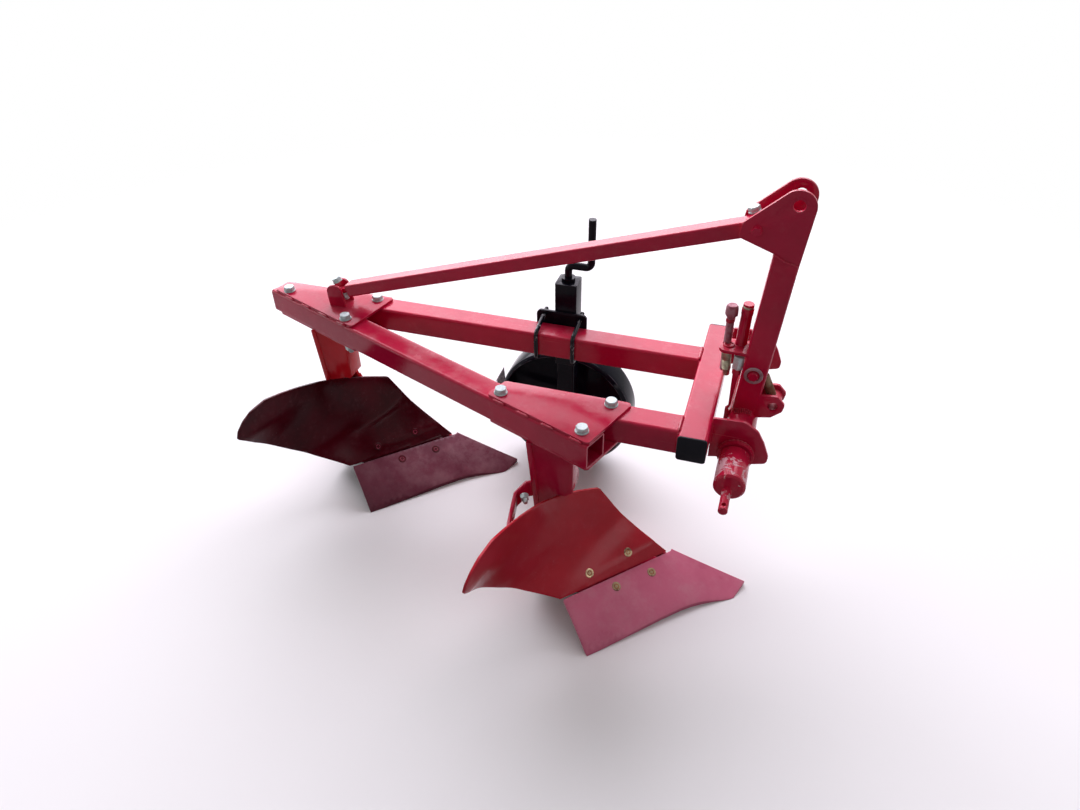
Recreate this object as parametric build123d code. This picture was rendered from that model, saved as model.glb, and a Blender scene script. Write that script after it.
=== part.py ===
"""Mounted two-furrow moldboard plough, in millimetres.

+X is the direction of travel, +Y the left (land) side and +Z up. The plough is laid out with x = 0 on the
crossbar's centre line, y = 0 at the crossbar's right end and z = 0 on the ground, and the whole of it is
then moved so that the bottom centre of its bounding box is the origin.
"""

from build123d import *
from math import cos, radians, sin, tan
import os

# Frame tubes
TUBE = 70.0  # outside width of the square frame tubes
TUBE_WALL = 5.0
TUBE_CORNER = 8.0  # outside corner radius
FRAME_TOP = 590.0  # tops of the frame tubes above the ground
CROSSBAR_LENGTH = 520.0
CAP_PLATE = 4.0  # thickness of a plastic end cap's face
CAP_PLUG = 12.0  # how far a cap reaches into its tube
SHORT_BEAM_Y = 52.0
LONG_BEAM_Y = 363.0
DIAGONAL_ANGLE = 21.5  # degrees between the diagonal beam and the direction of travel
DIAGONAL_LENGTH = 1190.0
DIAGONAL_NOSE = (-226.0, -99.0)  # near front corner of the diagonal beam, in plan
GUSSET = 8.0  # thickness of the gusset plates
GUSSET_CORNER = 10.0
GUSSET_INSET = 5.0  # from the diagonal beam's near face to the gussets' near edge

# Three-point head
QUADRANT_PLATE = 8.0
QUADRANT_Y = {"right": 76.0, "left": 493.0}  # right-hand faces of the two quadrant plates
SHAFT_X = 99.0
SHAFT_DROP = 82.0  # axis of the cross shaft below the tube tops
SHAFT_RADIUS = 25.0
SHAFT_CLEARANCE = 0.05  # radial, in the sleeve
SLEEVE_RADIUS = 38.0
COLLAR_RADIUS = 42.0
COLLAR_WIDTH = 14.0
HUB_RADIUS = 37.0
HUB_GAP = 4.0  # between a collar and the turning hub beside it
HUB_END = {"right": -50.0, "left": 570.0}
HUB_CHAMFER = 5.0
LINK_PIN_RADIUS = 11.0
LINK_PIN_LENGTH = 72.0
LINK_PIN_THROW = (4.0, 9.0)  # offset of the left pin from the shaft's axis in x and z; the right one is opposite
LINCHPIN_RADIUS = 5.75
LINCHPIN_INSET = 14.0  # from the pin's tip to its linchpin hole
MAST = 60.0  # outside width of the mast tube
MAST_WALL = 5.0
MAST_Y = 205.0  # right-hand face of the mast
MAST_FOOT = 70.0  # rear face of the mast at MAST_FOOT_DROP below the tube tops
MAST_FOOT_DROP = 60.0
MAST_RISE = 385.0  # top of the mast above the tube tops
MAST_LEAN = 4.4  # degrees forward
HEAD_PLATE = 8.0
TOP_LINK = (138.7, 501.0)  # x and height above the tube tops of the top link hole
TOP_LINK_RADIUS = 12.75
TOP_LINK_BOSS = 38.0
LUG_PLATE = 8.0
LUG_HOLE = (166.0, -21.0)
LUG_HOLE_RADIUS = 12.5

# Cross shaft adjuster
ARM_Y = 208.0
ARM_THICKNESS = 9.0
ARM_TOP = 68.0
ARM_SWING_GAP = 6.0
BRACKET_TOP = 120.0
BRACKET_PLATE = 8.0
SCREW_RADIUS = 9.5
SCREW_TOP = 195.0
SCREW_PLACE = (32.0, 246.0)  # plan position of the adjusting screw
SCREW_HEAD = 30.0  # height of its head

# Stay
STAY_WIDTH = 44.0
STAY_HEIGHT = 36.0
STAY_WALL = 4.0
STAY_FRONT = (78.0, 235.0, 439.0)  # centre of its front end, height above the tube tops
STAY_REAR = (-1045.0, 322.5, 59.0)
STAY_TONGUE = 46.0
STAY_TONGUE_SECTION = (22.0, 12.0)
CHEEK_X = -1082.5
CHEEK_WIDTH = 49.0
CHEEK_TOP = 75.0
CHEEK_THICKNESS = 8.0
CHEEK_GAP = 37.0
STAY_HOLE_RADIUS = 5.0

# Plough bodies
BODY_SPACING = (-780.0, 308.5)  # from the front body to the rear one, in plan
LEG_FRONT_X = {"front": -275.0, "rear": -284.0}
LEG_REAR_X = -396.0
LEG_TAPER = 18.0 / 212.0  # how fast the leg's rear edge comes forward going down
LEG_Y = (-35.0, 25.0)
LEG_FLANGE = 14.0
LEG_SIDE = 8.0
LEG_RECESS = 3.0
LEG_FOOT = 200.0
LEG_BEVEL = (-300.0, 350.0)  # x and height at the foot of the bevel on the leg's front, over the mouldboard
LANDSIDE_Y = 130.0  # left face of the landside
LANDSIDE_THICKNESS = 12.0
LANDSIDE_HEIGHT = 95.0
LANDSIDE_HEEL = -440.0
FROG_PLATE = 12.0
FROG_SEAT = 12.0
SEAT_LEFT_Y = 90.0  # left edge of the frog's seats
BRACE_TOP = {"front": 385.0, "rear": 300.0}
BRACE_HEIGHT = 48.0
SEAT_GAP = 0.5  # between the back of a blade and what it is bolted to

# Gauge wheel
WHEEL_RADIUS = 214.0
WHEEL_X = -450.0
WHEEL_NEAR_Y = 480.0  # right-hand edge of the wheel
WHEEL_HUB = (28.0, 93.0)  # the hub, from the wheel's right-hand edge
POST = 62.0
POST_WALL = 5.0
POST_X = -455.0  # rear face of the post
POST_TOP = 120.0
POST_BOTTOM = -142.0
SLIDE_CLEARANCE = 0.5
LEG_BAR_WALL = 5.0
CLAMP_PLATE = 8.0
AXLE_RADIUS = 15.0
AXLE_CLEARANCE = 0.05
HUB_TUBE = 36.0
CLAMP_TOP = 37.0  # above the tube tops
CLAMP_BOTTOM = -112.0
CLAMP_X = (-505.0, -360.0)
U_BOLT_RADIUS = 6.0
U_BOLT_X = (-484.0, -379.0)
U_BOLT_RISE = 16.0  # how much higher a U-bolt's upper leg is at the clamp plate than at the beam's near edge
U_BOLT_END = 20.0  # thread beyond the clamp plate
CRANK_RADIUS = 10.5
CRANK_THROW = 64.0
CRANK_RISE = (46.0, 187.0)  # the throw and the handle's end above the post's top
SCRAPER_GAP = 6.0  # between the scraper and the tread

REACH = 4000.0  # larger than the plough, for cutting tools

TUBE_MID = FRAME_TOP - TUBE / 2
TUBE_UNDER = FRAME_TOP - TUBE
FORWARD = Vector(cos(radians(DIAGONAL_ANGLE)), -sin(radians(DIAGONAL_ANGLE)), 0)
LEFT = Vector(sin(radians(DIAGONAL_ANGLE)), cos(radians(DIAGONAL_ANGLE)), 0)


# ---- Shapes ----


def box(x, y, z):
    """A box from its (low, high) limits along each axis."""
    size = [high - low for low, high in (x, y, z)]
    centre = [(high + low) / 2 for low, high in (x, y, z)]
    return Pos(*centre) * Box(*size)


def outline(corners, plane):
    """A flat face from rows of (a, b, corner radius)."""
    face = make_face(Polyline(*[(a, b) for a, b, _ in corners], close=True))
    for a, b, radius in corners:
        if radius:
            face = fillet(face.vertices().sort_by_distance(Vector(a, b, 0))[0], radius)
    return plane * face


def flat(corners, z, thickness):
    """A level plate, from rows of (x, y, corner radius), that rises from z."""
    return extrude(outline(corners, Plane.XY.offset(z)), amount=thickness)


def upright(corners, y, thickness):
    """A plate across the y axis, from rows of (x, z, corner radius), from y towards the left."""
    plane = Plane(origin=(0, y + thickness, 0), x_dir=(1, 0, 0), z_dir=(0, -1, 0))
    return extrude(outline(corners, plane), amount=thickness)


def bar(start, end, radius):
    """A round bar between two points."""
    run = Vector(*end) - Vector(*start)
    return extrude(Plane(origin=start, z_dir=run) * Circle(radius), amount=run.length)


def tube(start, end, side, width, height, wall, corner):
    """A box-section tube between two points; side is the direction of its width."""
    run = Vector(*end) - Vector(*start)
    section = RectangleRounded(width, height, corner)
    section -= RectangleRounded(width - 2 * wall, height - 2 * wall, max(corner - wall, 1.0))
    return extrude(Plane(origin=start, x_dir=side, z_dir=run) * section, amount=run.length)


def cut_off(solid, point, outward):
    """What is left of a solid without everything beyond a plane."""
    return solid - Plane(origin=point, z_dir=outward).location * Pos(0, 0, REACH / 2) * Box(REACH, REACH, REACH)


# ---- Frame ----


def along_diagonal(back, across):
    """Plan position from the diagonal beam's near front corner: back along the beam, and across it."""
    x, y = DIAGONAL_NOSE
    return (x - back * FORWARD.X + across * LEFT.X, y - back * FORWARD.Y + across * LEFT.Y)


def diagonal_beam():
    nose = along_diagonal(0, TUBE / 2)
    tail = along_diagonal(DIAGONAL_LENGTH, TUBE / 2)
    return tube((*tail, TUBE_MID), (*nose, TUBE_MID), LEFT, TUBE, TUBE, TUBE_WALL, TUBE_CORNER)


def beam(y):
    """A beam from the crossbar back to the far face of the diagonal beam, mitred to it."""
    length = tube(
        (-REACH / 2, y, TUBE_MID), (-TUBE / 2, y, TUBE_MID), (0, 1, 0), TUBE, TUBE, TUBE_WALL, TUBE_CORNER
    )
    return cut_off(length, (*along_diagonal(0, TUBE), TUBE_MID), -LEFT)


def crossbar():
    start = (0, CAP_PLATE, TUBE_MID)
    end = (0, CROSSBAR_LENGTH - CAP_PLATE, TUBE_MID)
    return tube(start, end, (1, 0, 0), TUBE, TUBE, TUBE_WALL, TUBE_CORNER)


def crossbar_cap(outer_y, inward):
    """An end cap: a face plate on the tube's end and a plug inside it."""
    plane = Plane(origin=(0, outer_y, TUBE_MID), x_dir=(1, 0, 0), z_dir=(0, inward, 0))
    inside = TUBE - 2 * TUBE_WALL - 0.4
    face = extrude(plane * RectangleRounded(TUBE, TUBE, TUBE_CORNER), amount=CAP_PLATE)
    plug = extrude(plane * RectangleRounded(inside, inside, 2.8), amount=CAP_PLATE + CAP_PLUG)
    return face + plug


# (name, front edge back at the near face, front edge at the far edge, rear edge near, rear edge far, y of far edge)
GUSSETS = [
    ("front", 0.0, 4.0, 311.0, 311.0, SHORT_BEAM_Y + TUBE / 2 - 2),
    ("rear", 823.0, 848.0, 1175.0, 1182.0, LONG_BEAM_Y + TUBE / 2 - 8),
]


def gusset(row, z):
    _, front_near, front_far, rear_near, rear_far, far_y = row
    corners = [along_diagonal(front_near, GUSSET_INSET), along_diagonal(rear_near, GUSSET_INSET)]
    for back in (rear_far, front_far):
        across = (far_y - DIAGONAL_NOSE[1] + back * FORWARD.Y) / LEFT.Y
        corners.append(along_diagonal(back, across))
    return flat([(x, y, GUSSET_CORNER) for x, y in corners], z, GUSSET)


# ---- Plough bodies ----

# Blade surfaces: level lines across the blade, from the lowest up, as
# (x and z where the line crosses y = -100, angle of the line to the direction of travel, depth of the section)
SHARE_JOINT = (-219.0, 99.0, 49.5, 17.0)
MOULDBOARD_LINES = [
    (-219.0, 99.0, 49.5, 8.0),
    (-237.8, 120.0, 52.3, 8.0),
    (-256.0, 140.0, 54.8, 8.0),
    (-275.9, 165.0, 56.8, 7.5),
    (-293.0, 192.0, 58.5, 7.0),
    (-301.2, 220.0, 60.9, 6.8),
    (-306.0, 250.0, 63.5, 6.5),
    (-312.6, 280.0, 65.9, 6.3),
    (-319.0, 310.0, 68.5, 6.2),
    (-326.1, 345.0, 72.6, 6.0),
    (-332.0, 380.0, 76.5, 6.0),
    (-335.8, 425.0, 78.7, 6.0),
    (-338.0, 470.0, 80.0, 6.0),
]
JOINT_RISE = 0.075  # the joint between share and mouldboard climbs towards its tail
CUTTING_LINE = (-29.8, 0.0, 41.5, 19.0)
LINE_Y = -100.0

# Plan of the share: heel of the wing, along the cutting edge to the point, and back along the land side
SHARE_PLAN = [
    (-176.5, -230.0), (-146.8, -200.5), (-60.3, -109.0), (-15.4, -62.0), (30.9, -16.1), (54.8, 4.7), (79.2, 23.0),
    (104.5, 38.0), (130.1, 51.0), (150.5, 62.0), (162.0, 72.0), (183.5, 129.6), (-28.0, 129.6), (-29.0, 122.0),
    (-263.0, -152.0),
]  # fmt: skip
# Outline of the mouldboard seen square to its mean line: (along the line towards the tail, height, radius)
MOULDBOARD_TURN = 65.0
MOULDBOARD_SHAPE = [
    (-99.0, 60.0, 0.0), (-70.0, 108.0, 0.0), (-22.0, 200.0, 60.0), (17.0, 291.0, 12.0), (90.0, 324.0, 60.0),
    (178.0, 361.0, 60.0), (253.0, 395.0, 60.0), (330.0, 425.0, 60.0), (400.0, 449.0, 60.0), (452.0, 464.0, 30.0),
    (505.0, 461.0, 30.0), (536.0, 447.0, 20.0), (557.0, 426.0, 15.0), (564.0, 402.0, 8.0), (540.0, 377.0, 60.0),
    (510.0, 341.0, 60.0), (459.0, 290.0, 60.0), (400.0, 231.0, 60.0), (334.0, 171.0, 60.0), (259.0, 110.0, 0.0),
    (249.0, 98.0, 0.0), (249.0, 40.0, 0.0),
]  # fmt: skip


def blade_section(line, front, depth, rise, ends):
    """A thin four-sided section on a level line, between two distances along it."""
    x, z, angle, _ = line
    toward_tail = Vector(-cos(radians(angle)), -sin(radians(angle)), 0)
    back = Vector(-sin(radians(angle)), cos(radians(angle)), 0)
    start = Vector(x, LINE_Y, z)
    low, high = (start + toward_tail * s + Vector(0, 0, rise * s) for s in ends)
    return Wire.make_polygon([low + back * front, high + back * front, high + back * depth, low + back * depth])


def blade(lines, rises, front, extra, ends):
    """A plate of ruled strips through its sections; front and extra shift its faces for a cutting tool."""
    sections = [
        blade_section(line, front, line[3] + extra, rise, ends) for line, rise in zip(lines, rises)
    ]
    return Part() + Solid.make_loft(sections, True)


def share_slab(front=0.0, extra=0.0):
    return blade([CUTTING_LINE, SHARE_JOINT], [0.0, JOINT_RISE], front, extra, (-420.0, 330.0))


def mouldboard_slab(front=0.0, extra=0.0):
    rises = [JOINT_RISE] + [0.0] * (len(MOULDBOARD_LINES) - 1)
    return blade(MOULDBOARD_LINES, rises, front, extra, (-330.0, 490.0))


def share():
    plan = make_face(Polyline(*SHARE_PLAN, close=True))
    return share_slab() & extrude(plan, amount=200.0)


def mouldboard():
    turn = radians(MOULDBOARD_TURN)
    plane = Plane(origin=(0, 0, 0), x_dir=(-cos(turn), -sin(turn), 0), z_dir=(-sin(turn), cos(turn), 0))
    shape = outline(MOULDBOARD_SHAPE, plane)
    return mouldboard_slab() & extrude(shape, amount=REACH / 4, both=True)


def behind_blades(solid, top=REACH):
    """What is left of a solid behind the share and the mouldboard, up to a height."""
    below = box((-REACH, REACH), (-REACH, REACH), (-REACH, top))
    return solid - share_slab(-200.0, SEAT_GAP) - (mouldboard_slab(-260.0, SEAT_GAP) & below)


def leg(front_x):
    """A box leg: two flange plates and two recessed sides, with its foot cut to the mouldboard's back."""
    top = TUBE_UNDER - GUSSET
    foot_rear = LEG_REAR_X + (top - LEG_FOOT) * LEG_TAPER
    low_y, high_y = LEG_Y
    front = box((front_x - LEG_SIDE, front_x), LEG_Y, (LEG_FOOT, top))
    rear_shape = [
        (LEG_REAR_X, top, 0),
        (LEG_REAR_X + LEG_FLANGE, top, 0),
        (foot_rear + LEG_FLANGE, LEG_FOOT, 0),
        (foot_rear, LEG_FOOT, 0),
    ]
    rear = upright(rear_shape, low_y, high_y - low_y)
    side_shape = [
        (LEG_REAR_X + LEG_FLANGE, top, 0),
        (front_x - LEG_SIDE, top, 0),
        (front_x - LEG_SIDE, LEG_FOOT, 0),
        (foot_rear + LEG_FLANGE, LEG_FOOT, 0),
    ]
    near = upright(side_shape, low_y + LEG_RECESS, LEG_SIDE)
    far = upright(side_shape, high_y - LEG_RECESS - LEG_SIDE, LEG_SIDE)
    foot = box(
        (foot_rear, front_x), (low_y + LEG_RECESS, high_y - LEG_RECESS), (LEG_FOOT, LEG_FOOT + LEG_SIDE)
    )
    bevel_x, bevel_low = LEG_BEVEL
    bevel = (bevel_low, bevel_low + front_x - bevel_x)
    corner = box((bevel_x - LEG_SIDE, front_x - LEG_SIDE), (low_y + LEG_RECESS, high_y - LEG_RECESS), bevel)
    body = behind_blades(front + rear + near + far + foot + corner, bevel_low + 6)
    nose = (front_x, 0, bevel[1])
    wedge = box((front_x - 60, front_x + 9), (low_y - 9, high_y + 9), bevel)
    return body - cut_off(wedge, nose, (-1, 0, 1))


def landside():
    low_y = LANDSIDE_Y - LANDSIDE_THICKNESS
    corners = [(LANDSIDE_HEEL, 0, 12), (LANDSIDE_HEEL, LANDSIDE_HEIGHT, 20), (-60, LANDSIDE_HEIGHT, 0), (60, 0, 0)]
    return behind_blades(upright(corners, low_y, LANDSIDE_THICKNESS))


def frog():
    """The bracket behind the blades: upright ribs on a cross plate, with seats for the blade bolts."""
    low_y, high_y = LEG_Y
    fin_y = LANDSIDE_Y - LANDSIDE_THICKNESS
    rear = LEG_REAR_X + (TUBE_UNDER - GUSSET - LEG_FOOT) * LEG_TAPER
    ribs = box((rear, rear + FROG_PLATE), (-75, fin_y), (30, LEG_FOOT))
    fin = [(rear, 14, 0), (rear, LEG_FOOT, 0), (-215, LEG_FOOT, 0), (-75, 80, 0), (-75, 14, 0)]
    ribs += upright(fin, fin_y - FROG_PLATE, FROG_PLATE)
    ribs += box((rear, -120), (-11, 1), (50, LEG_FOOT))
    ribs += box((rear, -180), (-75, -75 + FROG_PLATE), (50, LEG_FOOT))
    upper = mouldboard_slab(4.0, FROG_SEAT) & box((-400, 0), (-75, SEAT_LEFT_Y), (108, 160))
    lower = share_slab(8.0, FROG_SEAT) & box((-400, 0), (-75, SEAT_LEFT_Y), (52, 92))
    return behind_blades(ribs + upper + lower)


def mouldboard_brace(high):
    """A bent upright strap from the back of the leg to the back of the mouldboard's wing."""
    low = high - BRACE_HEIGHT
    corners = [
        (-350, -25, 0), (-378, -25, 0), (-400, -35, 6), (-415, -84, 30), (-395, -193, 0), (-370, -270, 0), (-362, -268, 0),
        (-387, -191, 0), (-407, -84, 24), (-393, -42, 6), (-378, -35, 0), (-350, -35, 0),
    ]  # fmt: skip
    strap = behind_blades(flat(corners, low, high - low))
    leg_rear = LEG_REAR_X + (TUBE_UNDER - GUSSET - low) * LEG_TAPER
    return cut_off(strap, (leg_rear, 0, low), (1, 0, LEG_TAPER))


# ---- Three-point head ----


def quadrant_plate(y):
    front = TUBE / 2
    corners = [
        (front, 11, 0), (109, 15, 30), (143, -8, 20), (160, -38, 40), (175, -76, 20), (173, -97, 12),
        (141, -106, 6), (52, -103, 4), (front, -107, 0),
    ]  # fmt: skip
    plate = upright([(x, FRAME_TOP + z, radius) for x, z, radius in corners], y, QUADRANT_PLATE)
    return plate - shaft_bar(SLEEVE_RADIUS, y - 1, y + QUADRANT_PLATE + 1)


def shaft_bar(radius, low_y, high_y, throw=(0.0, 0.0)):
    """A round bar along the cross shaft's axis, or beside it by a throw."""
    x, z = SHAFT_X + throw[0], FRAME_TOP - SHAFT_DROP + throw[1]
    return bar((x, low_y, z), (x, high_y, z), radius)


def shaft_sleeve():
    """The fixed sleeve that the cross shaft turns in, with a window at its back for the arm."""
    right = QUADRANT_Y["right"]
    left = QUADRANT_Y["left"] + QUADRANT_PLATE
    body = shaft_bar(SLEEVE_RADIUS, right - COLLAR_WIDTH, left + COLLAR_WIDTH)
    body += shaft_bar(COLLAR_RADIUS, right - COLLAR_WIDTH, right)
    body += shaft_bar(COLLAR_RADIUS, left, left + COLLAR_WIDTH)
    body -= shaft_bar(SHAFT_RADIUS + SHAFT_CLEARANCE, -REACH / 2, REACH / 2)
    window_y = (ARM_Y - ARM_SWING_GAP, ARM_Y + ARM_THICKNESS + ARM_SWING_GAP)
    axis_z = FRAME_TOP - SHAFT_DROP
    return body - box((SHAFT_X - 59, SHAFT_X - 11), window_y, (axis_z - 30, axis_z + SLEEVE_RADIUS - 14))


def cross_shaft():
    """The turning shaft with its end hubs and the two offset lower link pins."""
    right = QUADRANT_Y["right"] - COLLAR_WIDTH - HUB_GAP
    left = QUADRANT_Y["left"] + QUADRANT_PLATE + COLLAR_WIDTH + HUB_GAP
    shaft = shaft_bar(SHAFT_RADIUS, right, left)
    for side, inner, out in (("right", right, -1), ("left", left, 1)):
        end = HUB_END[side]
        hub = shaft_bar(HUB_RADIUS, min(inner, end), max(inner, end))
        rim = [edge for edge in hub.edges().filter_by(GeomType.CIRCLE) if abs(edge.center().Y - end) < 0.1]
        hub = chamfer(rim, HUB_CHAMFER)
        tip = end + out * LINK_PIN_LENGTH
        throw = (out * LINK_PIN_THROW[0], out * LINK_PIN_THROW[1])
        pin = shaft_bar(LINK_PIN_RADIUS, min(end, tip), max(end, tip), throw)
        rim = [edge for edge in pin.edges().filter_by(GeomType.CIRCLE) if abs(edge.center().Y - tip) < 0.1]
        pin = chamfer(rim, 2.0)
        x, z = SHAFT_X + throw[0], FRAME_TOP - SHAFT_DROP + throw[1]
        hole_y = tip - out * LINCHPIN_INSET
        pin -= bar((x, hole_y, z - 2 * LINK_PIN_RADIUS), (x, hole_y, z + 2 * LINK_PIN_RADIUS), LINCHPIN_RADIUS)
        shaft += hub + pin
    return shaft


def shaft_arm():
    """The flat arm that turns the cross shaft, through the sleeve's window."""
    corners = [
        (58, ARM_TOP, 4), (74, ARM_TOP, 4), (69, 0, 0), (66, -38, 0), (61, -55, 0), (66, -68, 0), (78, -80, 0),
        (79, -97, 0), (62, -93, 5), (53, -86, 4), (53, -52, 4), (60, -44, 4),
    ]  # fmt: skip
    arm = upright([(x, FRAME_TOP + z, radius) for x, z, radius in corners], ARM_Y, ARM_THICKNESS)
    return arm - shaft_bar(SHAFT_RADIUS, ARM_Y - 1, ARM_Y + ARM_THICKNESS + 1)


def mast_axis(drop_or_rise):
    """Centre of the mast at a height above the tube tops."""
    lean = tan(radians(MAST_LEAN))
    return (
        MAST_FOOT + MAST / 2 + (drop_or_rise + MAST_FOOT_DROP) * lean,
        MAST_Y + MAST / 2,
        FRAME_TOP + drop_or_rise,
    )


def mast_block(grow=0.0):
    """The solid outline of the mast."""
    foot, top = mast_axis(-SHAFT_DROP), mast_axis(MAST_RISE + 20)
    run = Vector(*top) - Vector(*foot)
    section = RectangleRounded(MAST + 2 * grow, MAST + 2 * grow, 6)
    return extrude(Plane(origin=foot, x_dir=(0, 1, 0), z_dir=run) * section, amount=run.length)


def mast():
    """The leaning mast tube, saddle-cut to the sleeve and cut level at the top."""
    body = tube(mast_axis(-SHAFT_DROP), mast_axis(MAST_RISE + 20), (0, 1, 0), MAST, MAST, MAST_WALL, 6)
    body -= shaft_bar(SLEEVE_RADIUS, MAST_Y - 10, MAST_Y + MAST + 10)
    body = cut_off(body, (0, 0, FRAME_TOP + MAST_RISE), (0, 0, 1))
    return body.solids().sort_by(Axis.Z)[-1]


def head_plate(y):
    """A plate at the mast's top, with the top link hole."""
    x, z = TOP_LINK
    corners = [(162, 366, 0), (25, 417, 10), (30, 451, 14), (185, 591, 38)]
    plate = upright([(a, FRAME_TOP + b, radius) for a, b, radius in corners], y, HEAD_PLATE)
    return plate - bar((x, y - 1, FRAME_TOP + z), (x, y + HEAD_PLATE + 1, FRAME_TOP + z), TOP_LINK_RADIUS)


def mast_lugs():
    """The two lugs of the clevis on the front of the mast, on the sleeve."""
    x, z = LUG_HOLE
    corners = [
        (90, 4, 0), (174, 10, 10), (194, -12, 10), (190, -32, 12), (166, -54, 8), (90, -70, 0),
    ]  # fmt: skip
    lugs = Part()
    for y in (MAST_Y, MAST_Y + MAST - LUG_PLATE):
        lug = upright([(a, FRAME_TOP + b, radius) for a, b, radius in corners], y, LUG_PLATE)
        lugs += lug - bar((x, y - 1, FRAME_TOP + z), (x, y + LUG_PLATE + 1, FRAME_TOP + z), LUG_HOLE_RADIUS)
    return lugs - mast_block() - shaft_bar(SLEEVE_RADIUS, 0, CROSSBAR_LENGTH)


def screw_bracket():
    """The plate on the back of the mast that holds the adjusting screw."""
    top = FRAME_TOP + BRACKET_TOP
    corners = [(100, 205, 0), (100, 265, 0), (34, 265, 16), (17, 240, 20), (17, 214, 20), (30, 205, 12)]
    plate = flat(corners, top - BRACKET_PLATE, BRACKET_PLATE) - mast_block()
    plate -= bar((*SCREW_PLACE, top - 50), (*SCREW_PLACE, top + 50), SCREW_RADIUS)
    return plate.solids().sort_by(Axis.X)[0]


def adjusting_screw():
    """The vertical screw with its hexagon head, through the bracket."""
    top = FRAME_TOP + SCREW_TOP
    screw = bar((*SCREW_PLACE, FRAME_TOP + 40), (*SCREW_PLACE, top), SCREW_RADIUS)
    return screw + Pos(*SCREW_PLACE, top) * extrude(RegularPolygon(17, 6), amount=SCREW_HEAD)


def bracket_boss():
    """The upright round boss beside the screw, on the bracket."""
    return bar((66, 250, FRAME_TOP + BRACKET_TOP), (66, 250, FRAME_TOP + BRACKET_TOP + 110), 13.0)


# ---- Stay ----


def stay_direction():
    x0, y0, z0 = STAY_REAR
    x1, y1, z1 = STAY_FRONT
    return Vector(x1 - x0, y1 - y0, z1 - z0)


def stay_bar():
    """The sloping stay from the mast's head to the rear gusset, with a tongue at its rear end."""
    start = (STAY_REAR[0], STAY_REAR[1], FRAME_TOP + STAY_REAR[2])
    end = (STAY_FRONT[0], STAY_FRONT[1], FRAME_TOP + STAY_FRONT[2])
    run = stay_direction().normalized()
    side = Vector(0, 0, 1).cross(run)
    body = tube(start, end, side, STAY_WIDTH, STAY_HEIGHT, STAY_WALL, 5)
    tongue_tip = Vector(*start) - run * STAY_TONGUE
    wide, thick = STAY_TONGUE_SECTION
    tongue = extrude(
        Plane(origin=tongue_tip, x_dir=side, z_dir=run) * Rectangle(wide, thick), amount=STAY_TONGUE + 30
    )
    plug = extrude(
        Plane(origin=start, x_dir=side, z_dir=run) * Rectangle(STAY_WIDTH - 2 * STAY_WALL, thick), amount=30
    )
    return body + plug + tongue


def stay_lug():
    """The two round-topped cheeks on the rear gusset that hold the stay's rear end."""
    base = FRAME_TOP + GUSSET
    half = CHEEK_WIDTH / 2
    top = FRAME_TOP + CHEEK_TOP
    corners = [
        (CHEEK_X - half - 4, top, half - 1), (CHEEK_X + half - 6, top, half - 6),
        (CHEEK_X + half + 2, base, 0), (CHEEK_X - half, base, 0),
    ]  # fmt: skip
    middle = STAY_REAR[1]
    near = upright(corners, middle - CHEEK_GAP / 2 - CHEEK_THICKNESS, CHEEK_THICKNESS)
    far = upright(corners, middle + CHEEK_GAP / 2, CHEEK_THICKNESS)
    return near + far


# ---- Gauge wheel ----

POST_Y = LONG_BEAM_Y + TUBE / 2 + CLAMP_PLATE  # right-hand face of the post
POST_CENTRE = (POST_X + POST / 2, POST_Y + POST / 2)
LEG_BAR = POST - 2 * POST_WALL - 2 * SLIDE_CLEARANCE  # outside width of the sliding bar


def clamp_plate():
    y = LONG_BEAM_Y + TUBE / 2
    (rear, front), low, high = CLAMP_X, CLAMP_BOTTOM, CLAMP_TOP
    corners = [(rear, low, 14), (front, low, 14), (front, high, 14), (rear, high, 14)]
    return upright([(x, FRAME_TOP + z, radius) for x, z, radius in corners], y, CLAMP_PLATE) - u_bolts()


def u_bolts():
    """Two square-bend U-bolts round the long beam."""
    near = LONG_BEAM_Y - TUBE / 2 - U_BOLT_RADIUS
    end = LONG_BEAM_Y + TUBE / 2 + CLAMP_PLATE + U_BOLT_END
    high, low = FRAME_TOP + U_BOLT_RADIUS, TUBE_UNDER - U_BOLT_RADIUS
    slope = U_BOLT_RISE / (TUBE + U_BOLT_RADIUS)
    end_high = high + (end - near) * slope
    bolts = Part()
    for x in U_BOLT_X:
        path = FilletPolyline((x, end, end_high), (x, near, high), (x, near, low), (x, end, low), radius=14)
        bolts += sweep(Plane(origin=(x, end, end_high), z_dir=(0, -1, -slope)) * Circle(U_BOLT_RADIUS), path=path)
    return bolts


def wheel_post():
    x, y = POST_CENTRE
    low, high = FRAME_TOP + POST_BOTTOM, FRAME_TOP + POST_TOP
    body = tube((x, y, low), (x, y, high - POST_WALL), (1, 0, 0), POST, POST, POST_WALL, 6)
    cap = Pos(x, y, high - POST_WALL) * extrude(RectangleRounded(POST, POST, 6), amount=POST_WALL)
    return body + cap - bar((x, y, high - 20), (x, y, high + 20), CRANK_RADIUS)


def crank():
    """The height screw's collar and spindle, bent over into an upright handle."""
    x, y = POST_CENTRE
    top = FRAME_TOP + POST_TOP
    throw, end = (top + rise for rise in CRANK_RISE)
    path = FilletPolyline(
        (x, y, top - 40), (x, y, throw), (x + CRANK_THROW, y, throw), (x + CRANK_THROW, y, end), radius=16
    )
    rod = sweep(Plane(origin=(x, y, top - 40), z_dir=(0, 0, 1)) * Circle(CRANK_RADIUS), path=path)
    return rod + bar((x, y, top), (x, y, top + 11), 19)


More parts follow.
